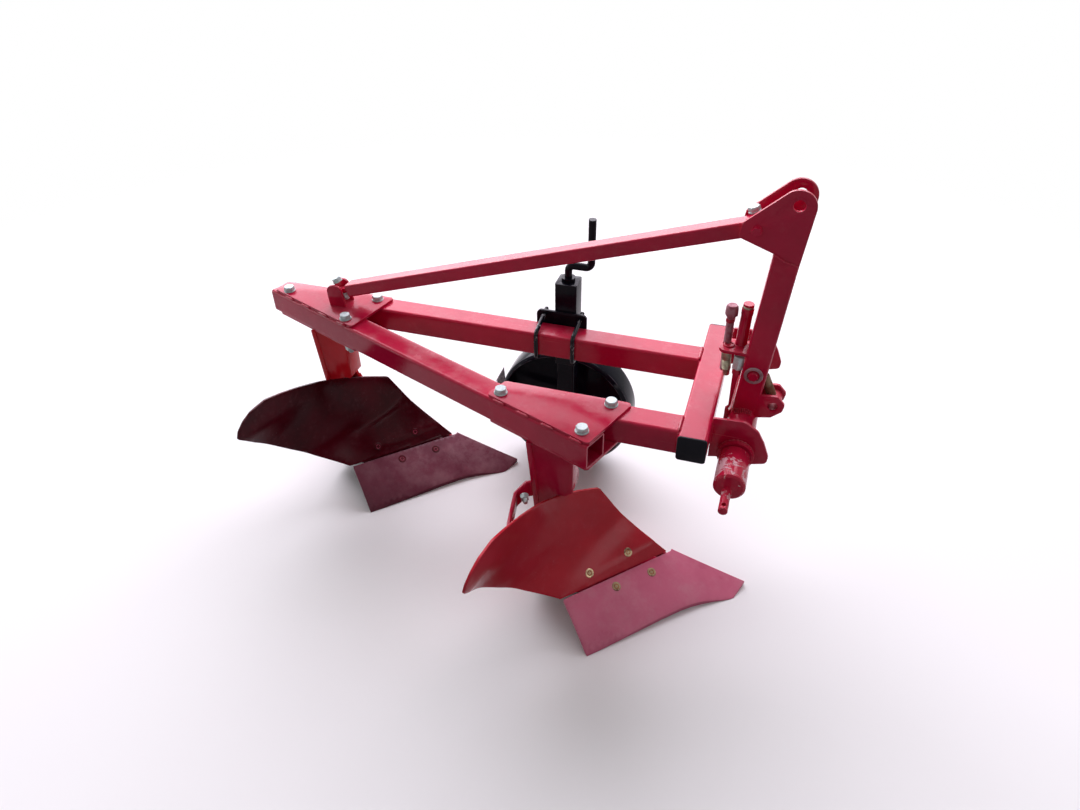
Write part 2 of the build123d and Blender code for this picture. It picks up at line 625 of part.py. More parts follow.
def wheel_slide():
    """The square bar that slides in the post and carries the axle."""
    x, y = POST_CENTRE
    axle_z = WHEEL_RADIUS
    body = tube((x, y, axle_z - 34), (x, y, FRAME_TOP - 15), (1, 0, 0), LEG_BAR, LEG_BAR, LEG_BAR_WALL, 5)
    bracket = box((WHEEL_X - 32, POST_X + POST_WALL + SLIDE_CLEARANCE), (y - 22, y + 22), (axle_z - 34, axle_z + 34))
    return body + bracket - bar((WHEEL_X, y - 60, axle_z), (WHEEL_X, y + 60, axle_z), AXLE_RADIUS)


def stub_axle():
    _, y = POST_CENTRE
    z = WHEEL_RADIUS
    hub_near, hub_far = (WHEEL_NEAR_Y + place for place in WHEEL_HUB)
    shank = bar((WHEEL_X, y - 30, z), (WHEEL_X, hub_far + 7, z), AXLE_RADIUS)
    collar = bar((WHEEL_X, y + LEG_BAR / 2 + 1, z), (WHEEL_X, hub_near - 2, z), 22)
    retainer = bar((WHEEL_X, hub_far + 2, z), (WHEEL_X, hub_far + 13, z), 23)
    return shank + collar + retainer


def gauge_wheel():
    """A pressed wheel: a rim with a tapered far shoulder, a dished disc and a hub."""
    near, crown = WHEEL_NEAR_Y, WHEEL_RADIUS
    hub_near, hub_far = (near + place for place in WHEEL_HUB)
    profile = [
        (near, crown - 10), (near + 13, crown - 1), (near + 30, crown), (near + 88, crown), (near + 115, crown - 20),
        (near + 111, crown - 24), (near + 87, crown - 5), (near + 66, crown - 5), (near + 60, crown - 40),
        (near + 48, 60), (near + 48, HUB_TUBE), (hub_far, HUB_TUBE), (hub_far, AXLE_RADIUS + AXLE_CLEARANCE),
        (hub_near, AXLE_RADIUS + AXLE_CLEARANCE), (hub_near, HUB_TUBE), (near + 43, HUB_TUBE), (near + 43, 60),
        (near + 55, crown - 40), (near + 60, crown - 5), (near + 30, crown - 5), (near + 14, crown - 6),
        (near + 3, crown - 14),
    ]  # fmt: skip
    face = make_face(Polyline(*[(0, y, WHEEL_RADIUS + r) for y, r in profile], close=True))
    wheel = revolve(face, axis=Axis((0, 0, WHEEL_RADIUS), (0, 1, 0)))
    return Pos(WHEEL_X, 0, 0) * wheel


def scraper():
    """The wheel's pointed scraper plate on its arm from the sliding bar."""
    rear = WHEEL_X - WHEEL_RADIUS - SCRAPER_GAP  # the plate's edge beside the tread
    low, high = WHEEL_RADIUS, WHEEL_RADIUS + 30
    near = POST_CENTRE[1] - 18
    plate_y = WHEEL_NEAR_Y + 65
    corners = [
        (rear - 30, low, 0), (rear, low, 0), (rear + 1, high + 8, 0), (rear - 2, high + 52, 0), (rear - 30, high - 4, 0),
    ]  # fmt: skip
    plate = upright(corners, plate_y, 8)
    arm = box((rear - 30, WHEEL_X - 32), (near, near + 8), (low, high))
    riser = box((rear - 30, rear - 22), (near, plate_y + 8), (low, high - 4))
    return plate + arm + riser


# ---- The plough ----

nodes = {
    "crossbar": crossbar(),
    "crossbar_cap_right": crossbar_cap(0, 1),
    "crossbar_cap_left": crossbar_cap(CROSSBAR_LENGTH, -1),
    "short_beam": beam(SHORT_BEAM_Y),
    "long_beam": beam(LONG_BEAM_Y),
    "diagonal_beam": diagonal_beam(),
    "quadrant_plate_right": quadrant_plate(QUADRANT_Y["right"]),
    "quadrant_plate_left": quadrant_plate(QUADRANT_Y["left"]),
    "shaft_sleeve": shaft_sleeve(),
    "cross_shaft": cross_shaft(),
    "shaft_arm": shaft_arm(),
    "mast": mast(),
    "head_plate_right": head_plate(MAST_Y - HEAD_PLATE),
    "head_plate_left": head_plate(MAST_Y + MAST),
    "mast_lugs": mast_lugs(),
    "screw_bracket": screw_bracket(),
    "adjusting_screw": adjusting_screw(),
    "bracket_boss": bracket_boss(),
    "stay_bar": stay_bar(),
    "stay_lug": stay_lug(),
    "wheel_clamp_plate": clamp_plate(),
    "wheel_u_bolts": u_bolts(),
    "wheel_post": wheel_post(),
    "wheel_crank": crank(),
    "wheel_slide": wheel_slide(),
    "wheel_axle": stub_axle(),
    "gauge_wheel": gauge_wheel(),
    "wheel_scraper": scraper(),
}
for row in GUSSETS:
    nodes[f"{row[0]}_gusset_top"] = gusset(row, FRAME_TOP)
    nodes[f"{row[0]}_gusset_bottom"] = gusset(row, TUBE_UNDER - GUSSET)
for place, count in (("front", 0), ("rear", 1)):
    move = Pos(count * BODY_SPACING[0], count * BODY_SPACING[1], 0)
    nodes[f"{place}_leg"] = move * leg(LEG_FRONT_X[place])
    for name, make in (
        ("frog", frog),
        ("share", share),
        ("mouldboard", mouldboard),
        ("landside", landside),
    ):
        nodes[f"{place}_{name}"] = move * make()
    nodes[f"{place}_brace"] = move * mouldboard_brace(BRACE_TOP[place])

whole = Compound(children=[solid for node in nodes.values() for solid in node.solids()]).bounding_box()
shift = Vector(-(whole.min.X + whole.max.X) / 2, -(whole.min.Y + whole.max.Y) / 2, -whole.min.Z)
os.makedirs("parts", exist_ok=True)
for name, node in nodes.items():
    export_step(Compound(children=[Pos(shift) * solid for solid in node.solids()]), f"parts/{name}.step")
print("shift", *(round(value, 4) for value in shift))
print("size", *(round(value, 2) for value in whole.size))
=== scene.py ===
"""The plough's looks: paint, plating, welds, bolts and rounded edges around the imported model.

Places are laid out in millimetres as the plough is drawn: x forward from the crossbar, y to the left from the
crossbar's right end and z up from the ground. at() turns them into metres in the model's own frame.
"""

import random
from math import atan2, cos, pi, radians, sin, tan

import bmesh
import bpy
from mathutils import Matrix, Vector


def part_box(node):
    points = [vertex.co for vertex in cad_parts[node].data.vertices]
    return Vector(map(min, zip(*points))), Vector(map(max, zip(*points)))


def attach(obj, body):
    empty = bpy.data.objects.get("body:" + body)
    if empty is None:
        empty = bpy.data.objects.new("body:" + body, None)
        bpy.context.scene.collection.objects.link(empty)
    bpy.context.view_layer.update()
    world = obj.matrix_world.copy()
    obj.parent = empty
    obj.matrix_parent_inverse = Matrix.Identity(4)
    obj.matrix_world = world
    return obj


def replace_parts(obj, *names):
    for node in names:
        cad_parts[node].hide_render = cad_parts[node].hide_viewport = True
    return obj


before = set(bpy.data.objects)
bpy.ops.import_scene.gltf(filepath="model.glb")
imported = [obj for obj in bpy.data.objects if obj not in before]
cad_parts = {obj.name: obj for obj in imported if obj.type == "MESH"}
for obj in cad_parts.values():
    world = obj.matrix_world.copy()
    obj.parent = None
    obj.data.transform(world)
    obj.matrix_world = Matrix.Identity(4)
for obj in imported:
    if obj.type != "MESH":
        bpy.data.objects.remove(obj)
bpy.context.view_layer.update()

MM = 0.001
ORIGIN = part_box("crossbar")[0] - Vector((-35, 4, 520)) * MM
FRAME_TOP = 590.0
GUSSET_TOP = 598.0
GUSSET_UNDER = 512.0
BODY_SPACING = Vector((-780.0, 308.5, 0.0))
chance = random.Random(7)


def at(x, y, z):
    """A laid-out point in metres in the model's frame."""
    return ORIGIN + Vector((x, y, z)) * MM


# ---- Finishes ----


class Link:
    """One value among the nodes of a tree; sums on it add Math nodes."""

    def __init__(self, nodes, socket):
        self.nodes, self.socket = nodes, socket

    def _sum(self, operation, a, b):
        return self.nodes.node("ShaderNodeMath", {"operation": operation}, {0: a, 1: b})

    def __add__(self, other):
        return self._sum("ADD", self, other)

    def __radd__(self, other):
        return self._sum("ADD", other, self)

    def __sub__(self, other):
        return self._sum("SUBTRACT", self, other)

    def __rsub__(self, other):
        return self._sum("SUBTRACT", other, self)

    def __mul__(self, other):
        return self._sum("MULTIPLY", self, other)

    def __rmul__(self, other):
        return self._sum("MULTIPLY", other, self)

    def most(self, other):
        return self._sum("MAXIMUM", self, other)


class Nodes:
    """The nodes of one tree."""

    def __init__(self, tree):
        self.tree = tree

    def node(self, kind, settings=None, inputs=None, output=0):
        """Adds a node of a type with its settings, values or links, and gives the Link to one output."""
        made = self.tree.nodes.new(kind)
        for key, value in (settings or {}).items():
            setattr(made, key, value)
        for key, value in (inputs or {}).items():
            if isinstance(value, Link):
                self.tree.links.new(value.socket, made.inputs[key])
            else:
                made.inputs[key].default_value = value
        return Link(self, made.outputs[output])

    def mix(self, factor, a, b):
        """From colour a to colour b, each a Link or (red, green, blue)."""
        a, b = (colour if isinstance(colour, Link) else (*colour, 1.0) for colour in (a, b))
        return self.node("ShaderNodeMix", {"data_type": "RGBA"}, {0: factor, 6: a, 7: b}, output=2)

    def direct(self):
        """1 for the camera's rays and those that a reflection or a clear surface passes on, else 0."""
        kinds = ("Is Camera Ray", "Is Glossy Ray", "Is Transmission Ray")
        seen, mirrored, passed = (self.node("ShaderNodeLightPath", output=kind) for kind in kinds)
        return seen + mirrored + passed


class Finish(Nodes):
    """A surface finish made of nodes on object coordinates."""

    def __init__(self, name, **constants):
        self.material = bpy.data.materials.new(name)
        self.material.use_nodes = True
        super().__init__(self.material.node_tree)
        self.shader = next(n for n in self.tree.nodes if n.type == "BSDF_PRINCIPLED")
        for socket, value in constants.items():
            self.shader.inputs[socket.replace("_", " ")].default_value = value
        self.place = self.node("ShaderNodeTexCoord", output="Object")

    def noise(self, scale, detail=4.0, rough=0.6, distortion=0.0, stretch=None, turn=(0, 0, 0)):
        """Noise of that many waves in a metre, drawn out along x where it is stretched."""
        place = self.place
        if stretch:
            turned_place = {"Vector": place, "Rotation": turn, "Scale": (1.0 / stretch, 1.0, 1.0)}
            place = self.node("ShaderNodeMapping", {}, turned_place)
        return self.node(
            "ShaderNodeTexNoise",
            {},
            {"Vector": place, "Scale": scale, "Detail": detail, "Roughness": rough, "Distortion": distortion},
        )

    def step(self, value, low, high):
        """0 below low, 1 above high and smooth between them."""
        return self.node(
            "ShaderNodeMapRange",
            {"interpolation_type": "SMOOTHSTEP"},
            {"Value": value, "From Min": low, "From Max": high},
        )

    def edge(self):
        """1 on rounded edges, 0 elsewhere."""
        return self.node("ShaderNodeAttribute", {"attribute_name": "edge"}, output="Fac")

    def upward(self):
        """How far the surface faces up, from -1 to 1."""
        normal = self.node("ShaderNodeTexCoord", output="Normal")
        return self.node("ShaderNodeSeparateXYZ", {}, {0: normal}, output="Z")

    def bump(self, height, distance, strength, over=None):
        """Relief whose full height is a distance in metres, over relief that is already there."""
        inputs = {"Height": height, "Distance": distance, "Strength": strength}
        if over:
            inputs["Normal"] = over
        return self.node("ShaderNodeBump", {}, inputs)

    def finish(self, **links):
        """Links the sockets that change over the surface and gives the material."""
        for socket, value in links.items():
            self.tree.links.new(value.socket, self.shader.inputs[socket.replace("_", " ")])
        return self.material


# Pale pink for chalky paint and scratches, also a painted highlight on edges and welds; the second pink is
# dust on upward faces and a painted highlight on tops.
CHALK_AND_HIGHLIGHT = (0.75, 0.32, 0.38)
DUST_AND_HIGHLIGHT = (0.78, 0.55, 0.56)
DARK_RUST = (0.045, 0.016, 0.012)
LIGHT_RUST = (0.17, 0.075, 0.045)


def paint(name, body, deep, worn=0.0, pale=0.0, gloss=(0.13, 0.24), specular=0.17, edge_wear_and_highlight=0.35):
    """Gloss paint on steel: cloudy shade, orange peel, dusted upward faces, scratches, chips and pale edges
    that are partly worn paint and partly a painted highlight; raising pale adds painted highlight to the
    mottle and upward faces.
    """
    coat = Finish(name, Specular_IOR_Level=specular)
    clouds = coat.noise(5.0, 5.0)
    colour = coat.mix(coat.step(clouds, 0.36, 0.66), deep, body)
    mottle = coat.noise(34.0, 6.0, 0.7)
    chalk_and_highlight = tuple(min(1.0, c * 0.7 + 0.3 * p) for c, p in zip(body, CHALK_AND_HIGHLIGHT))
    colour = coat.mix(coat.step(mottle, 0.5, 0.8) * (0.16 + pale), colour, chalk_and_highlight)
    # Upward faces paled towards pink: dust, and where pale is raised a painted highlight on the tops.
    dust_and_highlight = coat.step(coat.upward(), 0.55, 0.98) * coat.step(coat.noise(11.0, 7.0, 0.65), 0.42, 0.72)
    colour = coat.mix(dust_and_highlight * (0.1 + pale * 0.6), colour, DUST_AND_HIGHLIGHT)
    long_marks = coat.noise(260.0, 2.0, 0.5, 0.0, 60.0, (0.0, 0.3, 0.35))
    cross_marks = coat.noise(210.0, 2.0, 0.5, 0.0, 45.0, (0.4, 0.2, 1.75))
    patches = coat.step(coat.noise(7.0, 3.0), 0.5, 0.62)
    scratch = coat.step(long_marks, 0.70, 0.75).most(coat.step(cross_marks, 0.71, 0.76)) * patches
    colour = coat.mix(scratch * 0.35, colour, chalk_and_highlight)
    # Edges paled towards the pale pink: partly worn paint, partly a painted highlight where edges catch the
    # light.
    edge = coat.edge()
    paled = edge * coat.step(coat.noise(24.0, 5.0), 0.34, 0.62)
    colour = coat.mix(paled * edge_wear_and_highlight, colour, chalk_and_highlight)
    spots = coat.noise(85.0, 6.0, 0.72) + coat.noise(9.0, 3.0) * 0.5 + edge * 0.075
    chip = coat.step(spots, 1.06 - worn * 0.3, 1.075 - worn * 0.3)
    rust = coat.mix(coat.step(coat.noise(120.0, 5.0), 0.4, 0.6), DARK_RUST, LIGHT_RUST)
    colour = coat.mix(chip * 0.85, colour, rust)
    cloudy = coat.step(clouds, 0.3, 0.7) * (gloss[1] - gloss[0])
    roughness = gloss[0] + cloudy + dust_and_highlight * 0.12 + chip * 0.4 + scratch * 0.15
    peel = coat.bump(coat.noise(330.0, 2.0, 0.5), 0.00006, 0.6)
    lumps = coat.bump(coat.noise(28.0, 3.0), 0.0012, 0.22, peel)
    normal = coat.bump(1.0 - chip, 0.00025, 0.8, lumps)
    return coat.finish(Base_Color=colour, Roughness=roughness, Normal=normal)


SHAFT_MIDDLE = 0.155
WORN_STEEL = (0.36, 0.31, 0.29)


def hub_paint(name, body, deep, bare, primer, reach):
    """Paint worn through in broad patches to primer and steel; reach is how much more on the shaft's ends."""
    coat = Finish(name, Specular_IOR_Level=0.16)
    colour = coat.mix(coat.step(coat.noise(9.0, 4.0), 0.36, 0.66), deep, body)
    side = coat.node("ShaderNodeSeparateXYZ", {}, {0: coat.place}, output="Y") - SHAFT_MIDDLE
    outward = side.most(side * -1.0)
    outer = coat.step(outward, 0.235, 0.275) - coat.step(outward, 0.298, 0.302)
    wear = coat.noise(26.0, 7.0, 0.72, 0.6) + coat.edge() * 0.13 + outer * reach
    paled = coat.step(wear, 0.57, 0.595)
    under = coat.mix(coat.step(coat.noise(70.0, 6.0), 0.42, 0.6), bare, primer)
    colour = coat.mix(paled, colour, under)
    steel = coat.step(coat.noise(48.0, 6.0, 0.7), 0.64, 0.66)
    colour = coat.mix(steel, colour, WORN_STEEL)
    normal = coat.bump(1.0 - paled, 0.0003, 0.9, coat.bump(coat.noise(300.0, 2.0), 0.00006, 0.6))
    roughness = 0.2 + paled * 0.25 + steel * 0.05
    return coat.finish(Base_Color=colour, Roughness=roughness, Metallic=steel * 0.8, Normal=normal)


def black_gloss(name, body, gloss, specular, haze, peel=0.00008):
    """Black paint or plastic with a faint blue-grey haze where it is handled."""
    coat = Finish(name, Specular_IOR_Level=specular)
    handled = coat.step(coat.noise(14.0, 6.0, 0.68), 0.45, 0.75)
    pale = tuple(c + 0.028 for c in body)
    colour = coat.mix(handled * haze, body, pale)
    paled = coat.edge() * coat.step(coat.noise(30.0, 5.0), 0.35, 0.6)
    colour = coat.mix(paled * 0.5, colour, (0.13, 0.13, 0.15))
    spots = coat.noise(95.0, 6.0, 0.72) + coat.noise(10.0, 3.0) * 0.5 + coat.edge() * 0.05
    chip = coat.step(spots, 1.05, 1.065)
    colour = coat.mix(chip * 0.8, colour, (0.11, 0.075, 0.06))
    roughness = gloss + handled * 0.12 + chip * 0.3
    normal = coat.bump(coat.noise(240.0, 3.0), peel, 0.7, coat.bump(coat.noise(30.0, 3.0), 0.0008, 0.2))
    return coat.finish(Base_Color=colour, Roughness=roughness, Normal=normal)


def plated(name, bright, dull, stain, metallic, gloss, rusty, specular=0.5):
    """Plated or bare steel with dull blooms and scattered rust."""
    coat = Finish(name, Specular_IOR_Level=specular)
    bloom = coat.step(coat.noise(60.0, 5.0, 0.65), 0.38, 0.66)
    colour = coat.mix(bloom, bright, dull)
    rust = coat.step(coat.noise(38.0, 7.0, 0.72), 1.02 - rusty * 0.8, 1.08 - rusty * 0.8)
    colour = coat.mix(rust, colour, stain)
    colour = coat.mix(coat.edge() * 0.4, colour, bright)
    normal = coat.bump(coat.noise(420.0, 4.0), 0.0001, 0.6)
    roughness = gloss + bloom * 0.16 + rust * 0.35
    shine = metallic * (1.0 - rust * 0.8)
    return coat.finish(Base_Color=colour, Roughness=roughness, Metallic=shine, Normal=normal)


crimson = paint("crimson_gloss", (0.56, 0.008, 0.052), (0.47, 0.005, 0.040))
# The mouldboard's edges are paled fully, a painted highlight along the sheet's edge as well as wear.
board_paint = paint(
    "mouldboard_gloss", (0.52, 0.018, 0.034), (0.44, 0.012, 0.025),
    worn=0.1, gloss=(0.14, 0.22), specular=0.1, edge_wear_and_highlight=1.0,
)  # fmt: skip
# A darker copy of the mouldboard paint, painted shade for the rear body's mouldboard, bolt heads and frog.
shaded_board_paint = paint(
    "painted_shade_mouldboard_gloss", (0.10, 0.003, 0.011), (0.055, 0.002, 0.006),
    worn=0.04, gloss=(0.12, 0.2), specular=0.08, edge_wear_and_highlight=0.8,
)  # fmt: skip
rose_paint = paint(
    "rose_share_paint", (0.70, 0.17, 0.27), (0.61, 0.13, 0.22),
    worn=0.08, pale=0.2, gloss=(0.22, 0.36), specular=0.2, edge_wear_and_highlight=0.6,
)  # fmt: skip
# A darker copy of the share paint, painted shade for the rear share.
shaded_share_paint = paint(
    "shaded_share_paint", (0.19, 0.040, 0.068), (0.14, 0.026, 0.048),
    worn=0.06, pale=0.12, gloss=(0.22, 0.36), specular=0.16, edge_wear_and_highlight=0.6,
)  # fmt: skip
orange_paint = paint("orange_red_gloss", (0.78, 0.014, 0.024), (0.64, 0.009, 0.019))
scuffed_paint = paint(
    "scuffed_crimson", (0.50, 0.014, 0.046), (0.38, 0.009, 0.034),
    worn=0.14, pale=0.06, gloss=(0.2, 0.36), specular=0.14, edge_wear_and_highlight=0.5,
)  # fmt: skip
# The welds' raised pale is a painted highlight on the beads.
weld_paint = paint(
    "weld_crimson", (0.56, 0.020, 0.062), (0.42, 0.008, 0.036),
    worn=0.06, pale=0.3, gloss=(0.14, 0.26), specular=0.2,
)  # fmt: skip
dull_red = paint(
    "dull_red_bolt_paint", (0.34, 0.035, 0.075), (0.26, 0.025, 0.055),
    worn=0.04, pale=0.1, gloss=(0.2, 0.32), specular=0.16, edge_wear_and_highlight=0.5,
)  # fmt: skip
hub_finish = hub_paint(
    "worn_hub_paint", (0.64, 0.014, 0.058), (0.52, 0.009, 0.044),
    bare=(0.80, 0.42, 0.48), primer=(0.72, 0.40, 0.42), reach=0.075,
)  # fmt: skip
# The U-bolts' pale bare-steel patches are partly worn paint and partly painted glints.
worn_and_glint_black = hub_paint(
    "worn_and_glint_u_bolt", (0.006, 0.006, 0.010), (0.004, 0.004, 0.008),
    bare=(0.42, 0.44, 0.46), primer=(0.06, 0.06, 0.07), reach=0.0,
)  # fmt: skip
black_steel = black_gloss("black_steel_paint", (0.005, 0.005, 0.010), 0.14, 0.07, haze=0.3)
black_wheel = black_gloss("black_wheel_paint", (0.005, 0.005, 0.011), 0.10, 0.05, haze=0.25)
black_cap = black_gloss("black_cap_plastic", (0.006, 0.006, 0.010), 0.34, 0.08, haze=0.2, peel=0.00018)
zinc = plated(
    "zinc_plate", (0.52, 0.60, 0.60), (0.34, 0.41, 0.41), (0.16, 0.10, 0.07),
    metallic=0.2, gloss=0.24, rusty=0.42, specular=0.3,
)  # fmt: skip
grey_steel = plated(
    "grey_scraper_steel", (0.30, 0.28, 0.29), (0.15, 0.14, 0.15), (0.12, 0.06, 0.04),
    metallic=0.4, gloss=0.36, rusty=0.45,
)  # fmt: skip
worn_washer = plated(
    "worn_washer", (0.36, 0.27, 0.29), (0.24, 0.12, 0.14), (0.24, 0.03, 0.05),
    metallic=0.2, gloss=0.34, rusty=0.55, specular=0.2,
)  # fmt: skip
pink_rod = plated(
    "worn_screw_thread", (0.36, 0.17, 0.20), (0.26, 0.05, 0.08), (0.16, 0.08, 0.05),
    metallic=0.15, gloss=0.4, rusty=0.5, specular=0.2,
)  # fmt: skip
brass_bolt = plated(
    "rusty_plough_bolt", (0.40, 0.30, 0.17), (0.24, 0.16, 0.09), (0.13, 0.055, 0.03),
    metallic=0.55, gloss=0.36, rusty=0.62,
)  # fmt: skip
olive_pin = plated(
    "olive_passivated_pin", (0.34, 0.31, 0.22), (0.17, 0.15, 0.11), (0.10, 0.06, 0.04),
    metallic=0.6, gloss=0.34, rusty=0.5,
)  # fmt: skip
rust_heart = plated(
    "rusty_socket", (0.36, 0.13, 0.035), (0.20, 0.065, 0.025), (0.10, 0.04, 0.02),
    metallic=0.1, gloss=0.5, rusty=0.5, specular=0.2,
)  # fmt: skip
rust_rod = plated(
    "rust_brown_rod", (0.20, 0.12, 0.06), (0.11, 0.06, 0.035), (0.15, 0.055, 0.025),
    metallic=0.2, gloss=0.5, rusty=0.7,
)  # fmt: skip


# ---- Making pieces ----

WASHER_HEIGHT = 3.0
RIPPLE = 2.8


def add(bm, part, place=None):
    """Adds a shape to another, placed by a matrix."""
    if place is not None:
        bmesh.ops.transform(part, matrix=place, verts=part.verts)
    loose = bpy.data.meshes.new("added")
    part.to_mesh(loose)
    part.free()
    bm.from_mesh(loose)
    bpy.data.meshes.remove(loose)


def stand(point, axis=(0, 0, 1), turn=0.0):
    """Sets a shape made in millimetres about the z axis at a laid-out point, along an axis."""
    tilt = Vector(axis).to_track_quat("Z", "Y").to_matrix().to_4x4()
    return Matrix.Translation(at(*point)) @ tilt @ Matrix.Rotation(turn, 4, "Z") @ Matrix.Scale(MM, 4)


def lift(height):
    """Moves a shape along its own axis before it is set."""
    return Matrix.Translation((0, 0, height))


def piece(name, bm, body, material, sharp=38.0):
    """Makes an object of a finished shape, riding on a body."""
    mesh = bpy.data.meshes.new(name)
    bm.to_mesh(mesh)
    bm.free()
    if "custom_normal" in mesh.attributes:
        mesh.attributes.remove(mesh.attributes["custom_normal"])
    mesh.materials.clear()
    mesh.materials.append(material)
    mesh.polygons.foreach_set("use_smooth", [True] * len(mesh.polygons))
    mesh.polygons.foreach_set("material_index", [0] * len(mesh.polygons))
    mesh.set_sharp_from_angle(angle=radians(sharp))
    made = bpy.data.objects.new(name, mesh)
    bpy.context.scene.collection.objects.link(made)
    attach(made, body)
    return made


def round_edges(bm, radius, least=32.0):
    """Rounds the edges of a shape sharper than some degrees and marks the new faces as edges."""
    mark = bm.faces.layers.float.get("edge") or bm.faces.layers.float.new("edge")
    sharp = [e for e in bm.edges if len(e.link_faces) == 2 and e.calc_face_angle() > radians(least)]
    made = bmesh.ops.bevel(
        bm,
        geom=sharp,
        offset=radius,
        offset_type="OFFSET",
        segments=2,
        profile=0.5,
        affect="EDGES",
        clamp_overlap=True,
        material=-1,
    )
    for face in made["faces"]:
        face[mark] = 1.0


def dress(node, body, material, radius=1.3, trim=None):
    """A copy of a CAD part with its sharp edges rounded, which stands for it; trim takes off a corner."""
    bm = bmesh.new()
    bm.from_mesh(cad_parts[node].data)
    bmesh.ops.remove_doubles(bm, verts=bm.verts, dist=2e-6)
    bmesh.ops.dissolve_limit(bm, angle_limit=radians(0.6), verts=bm.verts, edges=bm.edges)
    if trim:
        whole = bm.verts[:] + bm.edges[:] + bm.faces[:]
        bmesh.ops.bisect_plane(bm, geom=whole, plane_co=at(*trim[0]), plane_no=trim[1], clear_outer=True)
        bmesh.ops.holes_fill(bm, edges=[e for e in bm.edges if e.is_boundary])
    round_edges(bm, radius * MM)
    made = piece(node + "_edged", bm, body, material)
    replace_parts(made, node)


def stacked(rows, segments=24):
    """A solid that rises through level outlines of (sides, half width, z), round where sides is 0."""
    bm = bmesh.new()
    bmesh.ops.create_circle(bm, cap_ends=True, segments=segments, radius=1.0)
    bm.faces.ensure_lookup_table()
    face = bm.faces[0]
    for count, (sides, half, z) in enumerate(rows):
        if count:
            grown = bmesh.ops.extrude_face_region(bm, geom=[face])["geom"]
            if count > 1:
                bmesh.ops.delete(bm, geom=[face], context="FACES_ONLY")
            face = next(g for g in grown if isinstance(g, bmesh.types.BMFace))
        for vert in face.verts:
            angle = atan2(vert.co.y, vert.co.x)
            reach = half / cos((angle + pi / sides) % (2 * pi / sides) - pi / sides) if sides else half
            vert.co = (reach * cos(angle), reach * sin(angle), z)
    bmesh.ops.recalc_face_normals(bm, faces=bm.faces)
    return bm


def turned(profile, steps=32):
    """A turned shape about the z axis, from a profile of (radius, z)."""
    bm = bmesh.new()
    line = [bm.verts.new((radius, 0, z)) for radius, z in profile]
    edges = [bm.edges.new(pair) for pair in zip(line, line[1:])]
    bmesh.ops.spin(
        bm, geom=line + edges, axis=(0, 0, 1), cent=(0, 0, 0), angle=2 * pi, steps=steps, use_merge=True
    )
    bmesh.ops.remove_doubles(bm, verts=bm.verts, dist=1e-4)
    bmesh.ops.recalc_face_normals(bm, faces=bm.faces)
    return bm


def threaded(radius, length, pitch=2.5):
    """A threaded end with a chamfered point."""
    rows = [(0.0, 0.0), (radius - 1.0, 0.0)]
    for turn in range(int((length - 2.0) / pitch)):
        rows += [(radius, (turn + 0.3) * pitch), (radius - 1.1, (turn + 0.8) * pitch)]
    return turned(rows + [(radius - 1.6, length), (0.0, length)], 20)


def washer(outer):
    """A washer with a chamfered rim."""
    top = WASHER_HEIGHT
    return stacked([(0, outer, 0), (0, outer, top - 0.7), (0, outer - 0.9, top), (0, 6, top)])


def hexagon(across, height):
    """A hexagon with its top corners chamfered, as wide across its flats as given."""
    half = across / 2
    sides = [(6, half, 0), (6, half, height - half * 0.14)]
    return stacked(sides + [(0, half * 0.97, height), (0, half * 0.4, height)])


def bolt_head(bm, point, axis, across=27.0, height=11.5, washer_radius=17.0, turn=0.3):
    """A washer and a hexagon bolt head."""
    add(bm, washer(washer_radius), stand(point, axis))
    add(bm, hexagon(across, height), stand(point, axis, turn) @ lift(WASHER_HEIGHT))


def nut(bm, point, axis, across=27.0, height=14.5, thread=9.0, beyond=8.0, washer_radius=17.0, turn=0.1):
    """A washer and nut with the end of its bolt standing out."""
    add(bm, washer(washer_radius), stand(point, axis))
    add(bm, hexagon(across, height), stand(point, axis, turn) @ lift(WASHER_HEIGHT))
    add(bm, threaded(thread, height + beyond - 2.0), stand(point, axis) @ lift(5.0))


def bead(bm, points, radius=3.6):
    """A rippled weld bead along laid-out points."""
    for start, end in zip(points, points[1:]):
        a, b = at(*start), at(*end)
        run = b - a
        steps = max(4, int(run.length / (RIPPLE * MM)))
        turn = run.to_track_quat("Z", "Y").to_matrix().to_4x4()
        forward = turn.to_3x3().col[2]
        part = bmesh.new()
        size = radius * MM
        ring = bmesh.ops.create_circle(
            part, cap_ends=True, segments=8, radius=size * 0.35, matrix=Matrix.Translation(a) @ turn
        )["verts"]
        middle = a
        for count in range(1, steps + 1):
            edges = [e for e in {e for v in ring for e in v.link_edges} if all(v in ring for v in e.verts)]
            grown = bmesh.ops.extrude_edge_only(part, edges=edges)["geom"]
            ring = [g for g in grown if isinstance(g, bmesh.types.BMVert)]
            done = count / steps
            sway = Vector([chance.uniform(-0.25, 0.25) * MM for _ in range(3)])
            new_middle = a + run * done + sway
            taper = min(1.0, 0.4 + 0.3 * min(count, steps - count))
            width = size * taper * (1.0 if count % 2 else 0.84) * chance.uniform(0.93, 1.07)
            for vert in ring:
                vert.co = new_middle + (vert.co - middle).normalized() * width
                vert.co -= forward * (vert.co - new_middle).dot(forward)
            middle = new_middle
        bmesh.ops.holes_fill(part, edges=[e for e in part.edges if e.is_boundary], sides=8)
        bmesh.ops.recalc_face_normals(part, faces=part.faces)
        add(bm, part)


def arc(centre, radius, start, end, count=10):
    """Laid-out points on an arc that faces sideways; angles in degrees."""
    x, y, z = centre
    angles = [radians(start + (end - start) * step / count) for step in range(count + 1)]
    return [(x + radius * cos(angle), y, z + radius * sin(angle)) for angle in angles]


